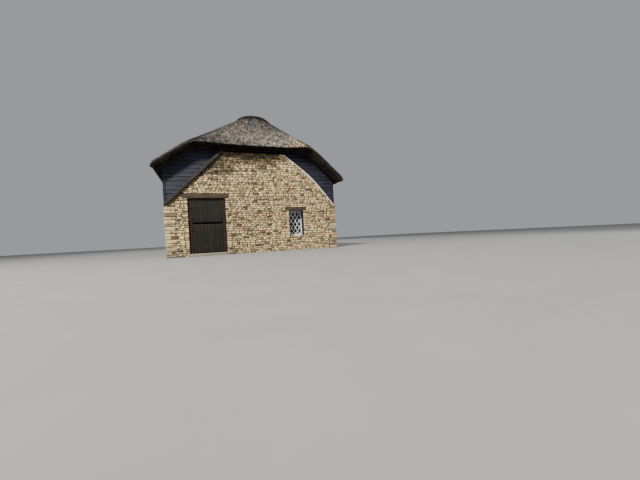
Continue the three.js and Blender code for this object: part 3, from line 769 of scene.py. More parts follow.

# CUT_TINT is the own brown of the cut straw. The underside's near-black tint is painted shade over its own
# darker straw.
CUT_TINT = np.array((0.25, 0.21, 0.165))
UNDERSIDE_SHADE_TINT = (0.11, 0.092, 0.086)
NEWER_TINT = np.array([0.6, 0.42, 0.1])
STRAW_TONES = np.array(
    [
        srgb(164, 156, 148),
        srgb(138, 130, 123),
        srgb(112, 105, 99),
        srgb(192, 184, 174),
        srgb(86, 80, 75),
        srgb(156, 140, 112),
    ]
)
STRAW_SHARES = (0.26, 0.26, 0.18, 0.14, 0.1, 0.06)


def straw_run(x, y):
    """The level direction in which the straw runs down: fanned out on the hips, straight on the slopes."""
    hip = on_hip(x, y)[..., None]
    fan = spots((x - RIDGE_X) * FAN_SPREAD, np.sign(y) * (np.abs(y) - RIDGE_END + FAN_BACK))
    slope = spots(np.where(x < RIDGE_X, -1.0, 1.0), 0.0)
    return unit(unit(fan, 1e-9) * hip + slope * (1 - hip), 1e-9)


def edge_spaced(reach):
    """Positions from -reach to reach, closer together near both ends, where the lips turn."""
    inner = reach - LIP_REACH
    middle = np.linspace(-inner, inner, round(2 * inner / COAT_STEP) + 1)
    ends = np.array(LIP_TURN)
    return np.concatenate([-reach + ends, middle, (reach - ends)[::-1]])


def streak(x, y, across, along, seed):
    """Noise drawn out along the straw: straight down the slopes, fanned out on the hips."""
    hip = on_hip(x, y)
    fan = (x - RIDGE_X) / (np.abs(y) - RIDGE_END + FAN_BACK + 3 * (1 - hip))
    straight = rough_noise(spots(x * along, y * across), seed, 2)
    fanned = rough_noise(spots(fan * across * 2.4, y * along, 7.0), seed, 2)
    return straight * (1 - hip) + fanned * hip


def thatch_relief(x, y):
    """Unevenness of the coat: broad swells, streaks along the straw and small lumps."""
    swells = smooth_noise(spots(x * 0.8, y * 0.8, 5.0), 11)
    lumps = rough_noise(spots(x * 6.0, y * 6.0), 14, 2)
    return SWELLS * swells + LUMPS * lumps + GROOVES * streak(x, y, 12.0, 2.2, 12)


def weathering(x, y):
    """How light the thatch is. A hip is darker near the ridge, on its left and at its right tip, and a
    slope is darker along its verges."""
    out = np.abs(y)
    patches = 0.8 + 0.09 * rough_noise(spots(x * 1.3, y * 1.3), 31)
    patches += 0.1 * streak(x, y, 3.0, 0.4, 35)
    high = fraction((HIP_HIGH_Y - out) / 0.4)
    left = fraction((HIP_LEFT_X - x) / 0.9)
    right = fraction((x - HIP_RIGHT_X) / 0.6) * (1 - high)
    corner = fraction((HIP_CORNER_X - x) / 0.6)
    tip = fraction((x - HIP_TIP_X) / 0.1) * fraction((out - HIP_TIP_Y) / 0.1)
    hip = (1 - 0.42 * np.maximum(high, 0.8 * left) - 0.3 * corner + 0.3 * right) * (1 - 0.6 * tip)
    verge = fraction((out - VERGE_Y) / 0.35)
    slope = 0.72 * (1 - 0.72 * verge) * (1 - 0.45 * verge * fraction((VERGE_LEFT_X - x) / 0.4))
    share = on_hip(x, y)
    return patches * (slope * (1 - share) + hip * share)


def warmth(x, y):
    """Browner and greyer patches, as a factor on each colour."""
    swing = smooth_noise(spots(x * 1.9, y * 1.9, 3.0), 34)
    return 1 + np.clip(swing, -0.1, 1)[..., None] * np.array([0.13, 0.02, -0.1])


def newer_straw(x, y):
    """Where each hip was patched with yellower straw, at its right-hand corner."""
    across = fraction((x - NEWER_X) / 0.6) * fraction((CORNER_RIGHT - x) / 0.3)
    return across * fraction((np.abs(y) - NEWER_Y) / 0.4)


def under_point(x, y):
    """The point of the underside that belongs to a point of the coat above it."""
    half = THATCH_HALF_WIDTH
    left_in, right_in = THATCH * math.sin(LEFT_PITCH), THATCH * math.sin(RIGHT_PITCH)
    inner_x = np.interp(x, [-half, half], [left_in - half, half - right_in])
    inner_y = y * (1 - UNDERCUT / THATCH_HALF_LENGTH)
    return spots(inner_x, inner_y, thatch_under(inner_x, inner_y))


def spaced_out(count):
    """Marks the grid lines that the underside keeps: both ends, and every few lines between."""
    kept = np.zeros(count, bool)
    kept[[0, count - 1]] = True
    kept[len(LIP_TURN) : count - len(LIP_TURN) : UNDER_EVERY] = True
    return kept


def build_coat():
    """The coat of thatch: its top, its cut edges and its underside. The tops of the hips are one piece."""
    xs, ys = edge_spaced(THATCH_HALF_WIDTH), edge_spaced(THATCH_HALF_LENGTH)
    x, y = np.meshgrid(xs, ys)
    top = spots(x, y, thatch_top(x, y) + thatch_relief(x, y))
    grid = grid_faces(*x.shape)
    near_x, near_y = x[:-1, :-1].ravel(), y[:-1, :-1].ravel()
    hip = on_hip(near_x, near_y) > 0.5
    shade = weathering(near_x, near_y) * (1 + 0.5 * streak(near_x, near_y, 34.0, 14.0, 32))
    tints = np.clip(0.75 * shade, 0.25, 1.5)[:, None] * warmth(near_x, near_y)
    slopes, hips = Heap(), Heap()
    slopes.add(top.reshape(-1, 3), [grid[~hip]], tints[~hip])
    hips.add(top.reshape(-1, 3), [grid[hip]], tints[hip])
    kept_x, kept_y = spaced_out(len(xs)), spaced_out(len(ys))
    bottom = under_point(x, y)
    below = bottom[np.ix_(kept_y, kept_x)]
    # The underside's tint is painted shade.
    slopes.add(below.reshape(-1, 3), [grid_faces(*below.shape[:2])[:, ::-1]], UNDERSIDE_SHADE_TINT)
    build_cut_edges(slopes, rim(top), rim(bottom), rim(np.outer(kept_y, kept_x)))
    slope_nodes = ["thatch_left_slope", "thatch_right_slope"]
    slopes.make("thatch_coat", COAT, "thatch", slope_nodes, smooth=True)
    hips.make("thatch_hip_coat", HIP_COAT, "thatch", ["thatch_front_hip", "thatch_back_hip"], smooth=True)


def cut_tints(places, share):
    """The cut edge is brown near its lip, and painted shade darkens it lower down and all over below the
    hips.
    """
    x, out = places[:, 0], np.abs(places[:, 1])
    under_hip = (x > CORNER_LEFT) & (x < CORNER_RIGHT) & (out > UNDER_HIP_Y)
    mottle = np.clip(1 + 0.5 * rough_noise(places * 4.0, 22, 2), 0.2, 1.8)
    # Painted shade: darker towards the underside, and darker still under the hips' eaves.
    painted_shade = (0.16 + 0.84 * (1 - share) ** 1.5) * np.where(under_hip, 0.36, 1.0) * mottle
    return painted_shade[:, None] * CUT_TINT


def rim(grid):
    """The outer ring of a grid, once round, anticlockwise from above."""
    return np.concatenate([grid[0, :-1], grid[:-1, -1], grid[-1, :0:-1], grid[:0:-1, 0]])


def build_cut_edges(heap, upper, lower, kept):
    """The cut edge of the thatch, bulging a little, from the lip to the wider-spaced underside."""
    last = 0.9
    share = np.linspace(0, last, EDGE_RINGS)[:, None, None]
    ring = upper * (1 - share) + lower * share
    noise = rough_noise(ring * 7.0, 21)[..., None]
    ring = ring + unit(ring * (1, 1, 0)) * EDGE_BULGE * noise * np.sin(share / last * math.pi)
    count = len(upper)
    index = np.arange(EDGE_RINGS * count).reshape(EDGE_RINGS, count)
    after = np.roll(index, -1, axis=1)
    bands = np.stack([index[1:], after[1:], after[:-1], index[:-1]], axis=-1).reshape(-1, 4)
    foot = EDGE_RINGS * count + np.cumsum(kept) - 1
    fans = np.stack([foot, after[-1], index[-1]], axis=1)
    steps = np.stack([foot, np.roll(foot, -1), after[-1]], axis=1)[np.roll(kept, -1)]
    heap.add(ring.reshape(-1, 3), [bands], cut_tints(ring[1:].reshape(-1, 3), share[1:].repeat(count)))
    # The underside's tint is painted shade.
    heap.add(np.concatenate([ring.reshape(-1, 3), lower[kept]]), [fans, steps], UNDERSIDE_SHADE_TINT)


def blades(heap, base, along, normal, length, width, lift, tint):
    """Adds one flat blade for each row: from base, along the surface, its tip a little lifted."""
    tip = base + along * length[:, None] + normal * lift[:, None]
    half = unit(np.cross(along, normal)) * width[:, None] / 2
    points = np.stack([base - half, base + half, tip + half * 0.5, tip - half * 0.5], axis=1).reshape(-1, 3)
    heap.add(points, [np.arange(len(points)).reshape(-1, 4)], tint)


def straw_tints(rng, x, y):
    """Weathered greys and browns in tufts and patches, yellower where the straw is newer."""
    count = len(x)
    tones = STRAW_TONES[rng.choice(len(STRAW_TONES), count, p=STRAW_SHARES)]
    tufts = np.clip(1 + 1.05 * streak(x, y, 36.0, 15.0, 33), 0.25, 2.4)
    tint = tones * (weathering(x, y) * tufts * rng.uniform(0.6, 1.45, count))[:, None]
    return tint * warmth(x, y) * (1 + newer_straw(x, y)[:, None] * NEWER_TINT)


def surface_frame(x, y, top, relief):
    """Points, tangents down the straw and normals of a surface over the plan."""
    step = 0.02
    rise_x = (top(x + step, y) - top(x - step, y)) / (2 * step)
    rise_y = (top(x, y + step) - top(x, y - step)) / (2 * step)
    run_x, run_y, _ = straw_run(x, y).T
    along = unit(spots(run_x, run_y, rise_x * run_x + rise_y * run_y))
    return spots(x, y, top(x, y) + relief(x, y)), along, unit(spots(-rise_x, -rise_y, 1.0))


def lay_straw(name, rng, x, y, top=thatch_top, relief=thatch_relief, shade=1.0, slot="thatch"):
    """Loose straws on a surface, one at each place in plan. None hangs far past the edge."""
    count = len(x)
    base, along, normal = surface_frame(x, y, top, relief)
    along = along + np.cross(normal, along) * rng.normal(0, STRAW_SWERVE, count)[:, None]
    room_x = (THATCH_HALF_WIDTH + OVERSHOOT - np.abs(x)) / np.maximum(along[:, 0] * np.sign(x), 0.05)
    room_y = (THATCH_HALF_LENGTH + OVERSHOOT - np.abs(y)) / np.maximum(along[:, 1] * np.sign(y), 0.05)
    length = np.minimum(rng.uniform(*STRAW_LENGTHS, count), np.minimum(room_x, room_y))
    width = rng.uniform(*STRAW_WIDTHS, count)
    lift = rng.uniform(*STRAW_LIFTS, count) * length
    heap = Heap()
    tint = straw_tints(rng, x, y) * shade
    blades(heap, base - normal * STRAW_SUNK, along, normal, length, width, lift, tint)
    heap.make(name, STRAW, slot)


def build_straw():
    """Straws over both slopes and both hips."""
    reach = THATCH_HALF_LENGTH - STRAW_INSET
    side = THATCH_HALF_WIDTH - STRAW_INSET
    for name, seed, count, low, high, hips in (
        ("left_slope", 41, 52000, -side, RIDGE_X, False),
        ("right_slope", 42, 46000, RIDGE_X, side, False),
        ("hips", 43, 64000, CORNER_LEFT - 0.1, CORNER_RIGHT + 0.1, True),
    ):
        rng = np.random.default_rng(seed)
        x = rng.uniform(low, high, 3 * count)
        y = rng.uniform(-reach, reach, 3 * count)
        if hips:
            y = rng.choice((-1, 1), 3 * count) * rng.uniform(RIDGE_END - 0.2, reach, 3 * count)
        share = on_hip(x, y)
        kept = np.flatnonzero((share >= 0.4) if hips else (share < 0.6))[:count]
        lay_straw(f"straw_{name}", rng, x[kept], y[kept])


def build_straw_ends():
    """The cut ends that bristle from the edges of the thatch, darker further under with the cut edge's
    painted shade.
    """
    rng = np.random.default_rng(44)
    count = CUT_STRAWS
    side = rng.choice(4, count, p=(0.2, 0.2, 0.3, 0.3))
    share = rng.uniform(0, 1, count)[:, None]
    spot_x, spot_y = rng.uniform(-1, 1, (2, count)) * [[THATCH_HALF_WIDTH], [THATCH_HALF_LENGTH]]
    outward = np.array([(-1, 0), (1, 0), (0, -1), (0, 1)])[side]
    x = np.where(side < 2, outward[:, 0] * THATCH_HALF_WIDTH, spot_x)
    y = np.where(side < 2, spot_y, outward[:, 1] * THATCH_HALF_LENGTH)
    base = spots(x, y, thatch_top(x, y)) * (1 - share) + under_point(x, y) * share
    out = unit(spots(*outward.T, -0.5) + rng.normal(0, 0.2, (count, 3)))
    length = rng.uniform(*CUT_LENGTHS, count)
    width = rng.uniform(*CUT_WIDTHS, count)
    # The cut edge's tints bring its painted shade.
    tint = 2.2 * straw_tints(rng, x, y) * cut_tints(base, share[:, 0])
    heap = Heap()
    normal = rng.normal(0, 1, (count, 3))
    blades(heap, base - out * CUT_SUNK, out, normal, length, width, np.zeros(count), tint)
    heap.make("straw_ends", STRAW, "thatch")


def cap_edge(x, y):
    """Distance in plan from the edge of the block ridge."""
    return np.minimum(CAP_HALF_WIDTH - np.abs(x - RIDGE_X), CAP_REACH - np.abs(y))


def cap_top(x, y):
    """Height of the block ridge's outer surface."""
    across = x - RIDGE_X
    edge = np.minimum(1, (CAP_HALF_WIDTH - np.abs(across)) / 0.06 + 0.7)
    tip = np.minimum(1, (CAP_REACH - np.abs(y)) / 0.1 + 0.7)
    shoulder = CAP_SHOULDER * fraction(across / CAP_SHOULDER_REACH)
    return thatch_top(x, y) + CAP_PROUD + (CAP + shoulder) * edge * tip


def cap_relief(x, y):
    """Unevenness of the block ridge, less than the coat's."""
    return 0.7 * thatch_relief(x, y)


def build_cap():
    """The block ridge: a thicker, darker coat along the ridge, with painted shade on its cut edges and
    along the rim of its top.
    """
    columns, rows = CAP_GRID
    xs = np.linspace(-CAP_HALF_WIDTH, CAP_HALF_WIDTH, columns) + RIDGE_X
    x, y = np.meshgrid(xs, np.linspace(-CAP_REACH, CAP_REACH, rows))
    spot = spots(x * 9.0, y * 9.0)
    x, y = x + CAP_RAGGED * rough_noise(spot, 15), y + CAP_RAGGED * rough_noise(spot, 16)
    top = spots(x, y, cap_top(x, y) + cap_relief(x, y))
    bottom = spots(x, y, thatch_top(x, y) - CAP_SUNK)
    grid = grid_faces(*x.shape)
    clear_of_edge_shade = fraction(cap_edge(x, y)[:-1, :-1].ravel() / 0.1)
    heap = Heap()
    # Painted shade: the top darkens towards the ridge's edges.
    heap.add(top.reshape(-1, 3), [grid], (0.4 + 0.6 * clear_of_edge_shade)[:, None])
    # The underside's tint is painted shade.
    heap.add(bottom.reshape(-1, 3), [grid[:, ::-1]], UNDERSIDE_SHADE_TINT)
    upper, lower = rim(top), rim(bottom)
    # Painted shade: the cut edges are darker than the brown of cut straw.
    heap.add(np.concatenate([upper, lower]), [belt_faces(len(upper))[:, ::-1]], 0.6 * CUT_TINT)
    heap.make("block_ridge", RIDGE, "ridge_thatch", ["thatch_ridge"], smooth=True)


def build_cap_straw():
    """Straws over the block ridge: darker straw, with painted shade near its edges."""
    rng = np.random.default_rng(45)
    within_x, within_y = RIDGE_STRAW_REACH
    x = RIDGE_X + rng.uniform(-CAP_HALF_WIDTH, CAP_HALF_WIDTH, RIDGE_STRAWS) * within_x
    y = rng.uniform(-CAP_REACH, CAP_REACH, RIDGE_STRAWS) * within_y
    # The ridge's own darker straw, and painted shade near its edges.
    shade = (0.3 + 0.32 * fraction(cap_edge(x, y) / 0.16))[:, None]
    lay_straw("straw_ridge", rng, x, y, cap_top, cap_relief, shade, "ridge_thatch")


# Stone.

STONE_TONES = np.array(
    [
        srgb(253, 225, 168),
        srgb(243, 212, 154),
        srgb(224, 194, 142),
        srgb(204, 184, 150),
        srgb(156, 140, 111),
        srgb(104, 92, 72),
        srgb(186, 148, 118),
    ]
)
STONE_SHARES = np.array([0.27, 0.23, 0.16, 0.13, 0.11, 0.06, 0.04])
DARK_SHARES = np.array([0.0, 0.03, 0.09, 0.1, 0.32, 0.34, 0.12])

# Courses: their usual height, how much it varies, and how far they rise and dip, less near an opening.
COURSE = 0.078
COURSE_SHARES = (0.6, 1.5)
COURSE_WAVE = 0.04
CALM_REACH = 0.4
COURSE_LEAST = 0.03

# A course higher than this holds some pairs of thin stones.
SPLIT_COURSE = 0.09
SPLIT_CHANCE = 0.3
SPLIT_AT = (0.4, 0.6)

# One stone: its outline, its joints, how far it stands out, and the shape of its face.
STONE_LENGTHS = (0.07, 0.22)
STONE_LEAST = (0.025, 0.012)
STONE_CORNERS = 7
STONE_SQUARENESS = (0.36, 0.6)
STONE_RAGGED = (0.84, 1.04)
STONE_TILT = 0.06
STONE_JOINTS = (0.004, 0.01)
STONE_SUNK = 0.004
STONE_PROUD = (0.008, 0.034)
STONE_FLUSH = 0.006
FACE_SHARES = (0.68, 0.84)
FACE_PROUD = (0.86, 1.1)
EDGE_PROUD = (0.35, 0.7)
CROWN_PROUD = (0.95, 1.15)
STONE_SHADES = (0.56, 1.26)
BRIGHTEST = 0.97

# How far stones keep from the ground, from the wall's top and from its ends.
GROUND_CLEARANCE = 0.003
TOP_CLEARANCE = 0.002
END_CLEARANCE = 0.003

# Above this height a gable's stones are browner. It drops on the left and rises on the right.
DARK_Z = 3.42
DARK_TURN = 0.75
DARK_DROP = 0.45
DARK_RISE = 0.8
DARK_FADE = 0.12

# Painted shadow: the front's stones are darkened within this reach of the timber on its left rake, where
# its shadow would fall.
TIMBER_SHADOW_REACH = 0.2

# The larger stones at the corners, and the lime along the right rakes.
CORNER_JOINT = 0.018
CORNER_HEIGHTS = (0.1, 0.16)
CORNER_LEAST = 0.08
CORNER_LONG = (0.3, 0.42)
CORNER_SHORT = (0.16, 0.24)
CORNER_STONE_PROUD = (0.02, 0.03)
CORNER_ROUNDING = 0.014
CORNER_SHADES = (0.45, 0.85)
RAKE_FILLET = 0.045
RAKE_FILLET_PROUD = 0.012
RAKE_FILLET_SUNK = 0.01
RAKE_FILLET_RIPPLE = 0.006


def dark_above(u):
    """Height above which a gable's stones are browner, at the place u along it."""
    drop = DARK_DROP * fraction((-DARK_TURN - u) / 0.15)
    return DARK_Z - drop + DARK_RISE * fraction((u - DARK_TURN) / 0.4)


class WallFace:
    """One outer face of the walls. u runs to the right as seen from outside, and z is the height.

    ends are the functions that give its left and right end at a height, holes are (left, low, right,
    high, depth of reveal), levels are the heights that courses keep to, and corners are the outlines of
    the corner stones on it.
    """

    def __init__(self, name, ends, top, holes, levels, seed, corners):
        self.world = face_at(*WALLS[name])
        self.is_front = name == "front"
        self.is_gable = name in ("front", "back")
        self.left, self.right = ends
        self.top = top
        self.holes = holes
        self.levels = [0.0, *levels, top]
        self.seed = seed
        self.corners = corners
        self.rng = np.random.default_rng(seed)

    def wave(self, u, z):
        """How far courses rise and dip, less near openings, the ground and the top."""
        near = np.minimum(z, np.maximum(self.top - z, 0))
        for u0, z0, u1, z1, _ in self.holes:
            gap_u = np.maximum(np.maximum(u0 - u, u - u1), 0)
            gap_z = np.maximum(np.maximum(z0 - z, z - z1), 0)
            near = np.minimum(near, np.hypot(gap_u, gap_z))
        noise = rough_noise(spots(u * 0.9, z * 0.7, 0.5), self.seed, 2)
        return COURSE_WAVE * noise * fraction(near / CALM_REACH)

    def courses(self):
        """Bottom and top of each course. Courses keep to the heights of the openings."""
        for low, high in zip(self.levels[:-1], self.levels[1:]):
            count = max(1, round((high - low) / COURSE))
            weights = self.rng.uniform(*COURSE_SHARES, count)
            edges = low + (high - low) * np.concatenate([[0], np.cumsum(weights) / weights.sum()])
            yield from zip(edges[:-1], edges[1:])

    def runs(self, z0, z1):
        """Stretches of a course between the wall's ends and its openings, with the depth of the reveal
        at each end, or 0 at the wall's own end."""
        middle = (z0 + z1) / 2
        start, depth = float(self.left(z0)), 0.0
        for u0, low, u1, high, reveal in self.holes:
            if low < middle < high:
                yield start, u0, depth, reveal
                start, depth = u1, reveal
        yield start, float(self.right(z0)), depth, 0.0

    def lay(self, heap):
        """Fills the face with stones, some of them two thin ones on each other."""
        shortest, longest = STONE_LENGTHS
        for z0, z1 in self.courses():
            for start, stop, start_depth, stop_depth in self.runs(z0, z1):
                u = start
                while stop - u > COURSE_LEAST:
                    length = self.rng.uniform(shortest, longest)
                    if stop - u - length < shortest:
                        length = stop - u if stop - u < longest else (stop - u) / 2
                    first, last = u <= start, u + length >= stop - 1e-6
                    depths = (start_depth * first, stop_depth * last)
                    parts = [z0, z1]
                    if z1 - z0 > SPLIT_COURSE and self.rng.random() < SPLIT_CHANCE:
                        parts = [z0, z0 + (z1 - z0) * self.rng.uniform(*SPLIT_AT), z1]
                    for low, high in zip(parts[:-1], parts[1:]):
                        self.stone(heap, (u, u + length), (low, high), depths)
                    u += length

    def stone(self, heap, u_span, z_span, depths):
        """One stone with an uneven outline and a rounded face. depths are those of the reveals that its
        left and right ends turn into, or 0."""
        rng = self.rng
        count = STONE_CORNERS
        joint = rng.uniform(*STONE_JOINTS)
        low_u = u_span[0] + (-STONE_SUNK if depths[0] else joint)
        high_u = u_span[1] - (-STONE_SUNK if depths[1] else joint)
        half = np.array([high_u - low_u, z_span[1] - z_span[0] - 2 * joint]) / 2
        if half.min() < 0.01:
            return
        turns = (np.arange(count) + rng.uniform(0.2, 0.8)) * math.tau / count
        shape = np.stack([np.cos(turns), np.sin(turns)], axis=1)
        shape = np.sign(shape) * np.abs(shape) ** rng.uniform(*STONE_SQUARENESS)
        shape = shape * rng.uniform(*STONE_RAGGED, (count, 2))
        middle = np.array([(low_u + high_u) / 2, (z_span[0] + z_span[1]) / 2])
        edge = middle + shape * half
        tilt = rng.uniform(-STONE_TILT, STONE_TILT) * shape[:, 0] * half[0]
        edge[:, 1] += tilt + self.wave(*edge.T)
        edge[:, 1] = np.clip(edge[:, 1], GROUND_CLEARANCE, self.top - TOP_CLEARANCE)
        if not depths[0]:
            edge[:, 0] = np.maximum(edge[:, 0], self.left(edge[:, 1]) + END_CLEARANCE)
        if not depths[1]:
            edge[:, 0] = np.minimum(edge[:, 0], self.right(edge[:, 1]) - END_CLEARANCE)
        if (np.ptp(edge, axis=0) < STONE_LEAST).any():
            return
        centre = edge.mean(axis=0)
        proud = rng.uniform(*STONE_PROUD)
        hidden, crossing = self.at_corner(centre, edge)
        if crossing:
            proud = STONE_FLUSH
        inner = centre + (edge - centre) * rng.uniform(*FACE_SHARES)
        out = proud * rng.uniform(*FACE_PROUD, count)
        points = [
            self.world(*edge.T, -STONE_SUNK - max(depths)),
            self.world(*edge.T, out * rng.uniform(*EDGE_PROUD)),
            self.world(*inner.T, out),
            self.world(centre[:1], centre[1:], proud * rng.uniform(*CROWN_PROUD)),
        ]
        sides = np.concatenate([belt_faces(count), belt_faces(count, count)])
        tint = self.tone(*middle)
        if not hidden:
            heap.add(np.concatenate(points), [sides, fan_faces(count, 2 * count, 3 * count)], tint)

    def at_corner(self, centre, edge):
        """Whether a stone would lie behind a corner stone, and whether it crosses the edge of one."""
        gap = CORNER_JOINT / 2
        hidden = crossing = False
        for u0, z0, u1, z1 in self.corners:
            hidden |= u0 - gap < centre[0] < u1 + gap and z0 - gap < centre[1] < z1 + gap
            inside = (edge[:, 0] > u0) & (edge[:, 0] < u1) & (edge[:, 1] > z0) & (edge[:, 1] < z1)
            crossing |= bool(inside.any())
        return hidden, crossing

    def tone(self, u, z):
        """A stone's colour: mostly cream and buff, browner high on a gable, paler on its right half as
        painted light, and darkened along the timber on the front's left rake as its painted shadow."""
        dark = 0.0
        sunned = 1.0
        if self.is_gable:
            wander = 0.12 * float(smooth_noise(spots(u * 1.6, z), self.seed + 5))
            dark = float(fraction((z + wander - dark_above(u)) / DARK_FADE))
            # Painted light: the right half of a gable is lightened.
            sunned = 1 + 0.1 * fraction((u - 0.2) / 0.8)
        shares = STONE_SHARES * (1 - dark) + DARK_SHARES * dark
        colour = STONE_TONES[self.rng.choice(len(STONE_TONES), p=shares / shares.sum())]
        light = self.rng.uniform(*STONE_SHADES) * sunned * (1 - 0.5 * dark)
        if self.is_front and z > WALL_TOP + 0.1:
            # Painted shadow of the rake timber, strongest next to it.
            timber_shadow = fraction(1 - (u - float(self.left(z))) / TIMBER_SHADOW_REACH)
            light = light * (1 - 0.85 * timber_shadow**0.5)
        return colour * min(light, BRIGHTEST / colour.max())


def window_hole(centre):
    """A window's hole and the lintel over it, as (left, low, right, high, depth of reveal)."""
    depth = WINDOW_SET_BACK - 0.003
    reach = WINDOW_HALF + WINDOW_LINTEL_BEARING
    return [
        (centre - WINDOW_HALF, WINDOW_SILL, centre + WINDOW_HALF, WINDOW_HEAD, depth),
        (centre - reach, WINDOW_HEAD, centre + reach, WINDOW_HEAD + WINDOW_LINTEL, LINTEL_SET_BACK),
    ]


def front_left(z):
    """Left end of the front's stones at the height z."""
    return np.where(np.asarray(z) > WALL_TOP, rake_left(z), -HALF_WIDTH)


def front_right(z):
    """Right end of the front's stones at the height z, where they stop at the fillet."""
    return np.where(np.asarray(z) > WALL_TOP, rake_right(z) - RAKE_FILLET, HALF_WIDTH)


def build_stone():
    """Rubble facing on the four outer faces, the corner stones, and mortar behind them."""
    front_ends = (front_left, front_right)
    back_ends = (lambda z: -front_right(z), lambda z: -front_left(z))
    side_ends = (lambda z: np.full(np.shape(z), -HALF_LENGTH), lambda z: np.full(np.shape(z), HALF_LENGTH))
    door_holes = [
        (DOOR_LEFT, 0.0, DOOR_RIGHT, DOOR_HEAD, DOOR_SET_BACK),
        (LINTEL_LEFT, DOOR_HEAD, LINTEL_RIGHT, LINTEL_TOP, LINTEL_SET_BACK),
    ]
    front_holes = [*door_holes, *window_hole(FRONT_WINDOW_X)]
    side_holes = [hole for y in SIDE_WINDOW_YS for hole in window_hole(y)]
    levels = [WINDOW_SILL, WINDOW_HEAD, WINDOW_HEAD + WINDOW_LINTEL]
    blocks = corner_blocks()
    for name, ends, top, holes, stops, seed in (
        ("front", front_ends, GABLE_TOP, front_holes, [*levels, DOOR_HEAD, LINTEL_TOP], 61),
        ("back", back_ends, GABLE_TOP, window_hole(-BACK_WINDOW_X), levels, 62),
        ("left", side_ends, WALL_TOP, side_holes, levels, 63),
        ("right", side_ends, WALL_TOP, side_holes, levels, 64),
    ):
        heap = Heap()
        WallFace(name, ends, top, holes, stops, seed, corners_on(blocks, *WALLS[name])).lay(heap)
        heap.make(f"rubble_{name}", STONE, "stone", smooth=True)
    build_corner_stones(blocks)
    build_rake_edge()
    for name in NODES:
        if "wall" in name and not name.endswith("_frame"):
            finish_node(name, MORTAR)


def corner_blocks():
    """Places, tints and seeds of the larger stones that turn the four corners, long and short in turn."""
    rng = np.random.default_rng(65)
    blocks = []
    for side, end in ((-1, -1), (-1, 1), (1, -1), (1, 1)):
        z, turn = 0.002, 0
        while WALL_TOP - z > CORNER_LEAST:
            height = min(rng.uniform(*CORNER_HEIGHTS), WALL_TOP - z)
            if WALL_TOP - z - height < CORNER_LEAST:
                height = WALL_TOP - z
            runs = (rng.uniform(*CORNER_LONG), rng.uniform(*CORNER_SHORT))
            run_x, run_y = runs if turn % 2 == 0 else runs[::-1]
            proud = rng.uniform(*CORNER_STONE_PROUD)
            corner = np.array([side * (HALF_WIDTH + proud), end * (HALF_LENGTH + proud)])
            inner = np.array([side * (HALF_WIDTH - run_x), end * (HALF_LENGTH - run_y)])
            low = [*np.minimum(corner, inner), z + CORNER_JOINT / 2]
            high = [*np.maximum(corner, inner), z + height - CORNER_JOINT / 2]
            tint = STONE_TONES[rng.choice(5)] * rng.uniform(*CORNER_SHADES)
            blocks.append((np.array(low), np.array(high), tint, int(rng.integers(1000))))
            z += height
            turn += 1
    return blocks


def corners_on(blocks, origin, u_axis, outward):
    """The outlines (u0, z0, u1, z1) of the corner stones that show on one face."""
    outlines = []
    for low, high, _, _ in blocks:
        ends = np.stack([low, high])
        if ((ends - origin) @ outward).max() > 0:
            u0, u1 = np.sort((ends - origin) @ u_axis)
            outlines.append((u0, low[2], u1, high[2]))
    return outlines


def build_corner_stones(blocks):
    """The larger stones that turn the four corners."""
    heap = Heap()
    for low, high, tint, seed in blocks:
        block(heap, low, high, CORNER_ROUNDING, (3, 3, 2), 0.005, seed, tint)
    heap.make("corner_stones", STONE, "stone", smooth=True)


def build_rake_edge():
    """The fillet of lime mortar that finishes the right rake of each gable."""
    heap = Heap()
    xs = np.linspace(GABLE_TOP_RIGHT, HALF_WIDTH - 0.02, 60)
    zs = gable_top(xs)
    for end in (-1, 1):
        face = end * (HALF_LENGTH + RAKE_FILLET_PROUD)
        back = end * (HALF_LENGTH - RAKE_FILLET_SUNK)
        ripple = RAKE_FILLET_RIPPLE * smooth_noise(spots(xs * 6, zs * 6, end), 71)
        outer, inner = (xs, zs - 0.003), (xs - RAKE_FILLET, zs - RAKE_FILLET + ripple)
        corners = ((outer, face), (inner, face), (inner, back), (outer, back))
        section = np.stack([spots(x, y, z) for (x, z), y in corners], axis=1)
        faces = np.concatenate(tube_faces(*section.shape[:2]))
        heap.add(section.reshape(-1, 3), [faces if end < 0 else faces[:, ::-1]])
    heap.make("rake_fillets", RAKE_LIME, "stone")


# Weatherboards.

# Painted highlight: the lower edge faces of the boards are lightened and blued like a reflection of the
# sky.
PAINTED_EDGE_SHEEN = np.array([3.6, 3.6, 4.8])
BOARD_SHADES = (0.7, 1.25)
BOARD_LENGTHS = (1.6, 3.4)
BOARD_SHORTEST = 0.7
BOARD_LEAST = 0.02
BOARD_GAP = 0.003
BOARD_LAP = 0.012
BOARD_THICKNESSES = (0.026, 0.031)
BOARD_TOP_THICKNESS = 0.009
BOARD_WORN = (0.014, 0.03)
BOARD_BEND = 0.006
BOARD_WARP = 0.004
BEHIND_RAKE = 0.05
GABLE_SPAN_LEAST = 0.05
CORNER_BOARD = 0.085
CORNER_PROUD = 0.042


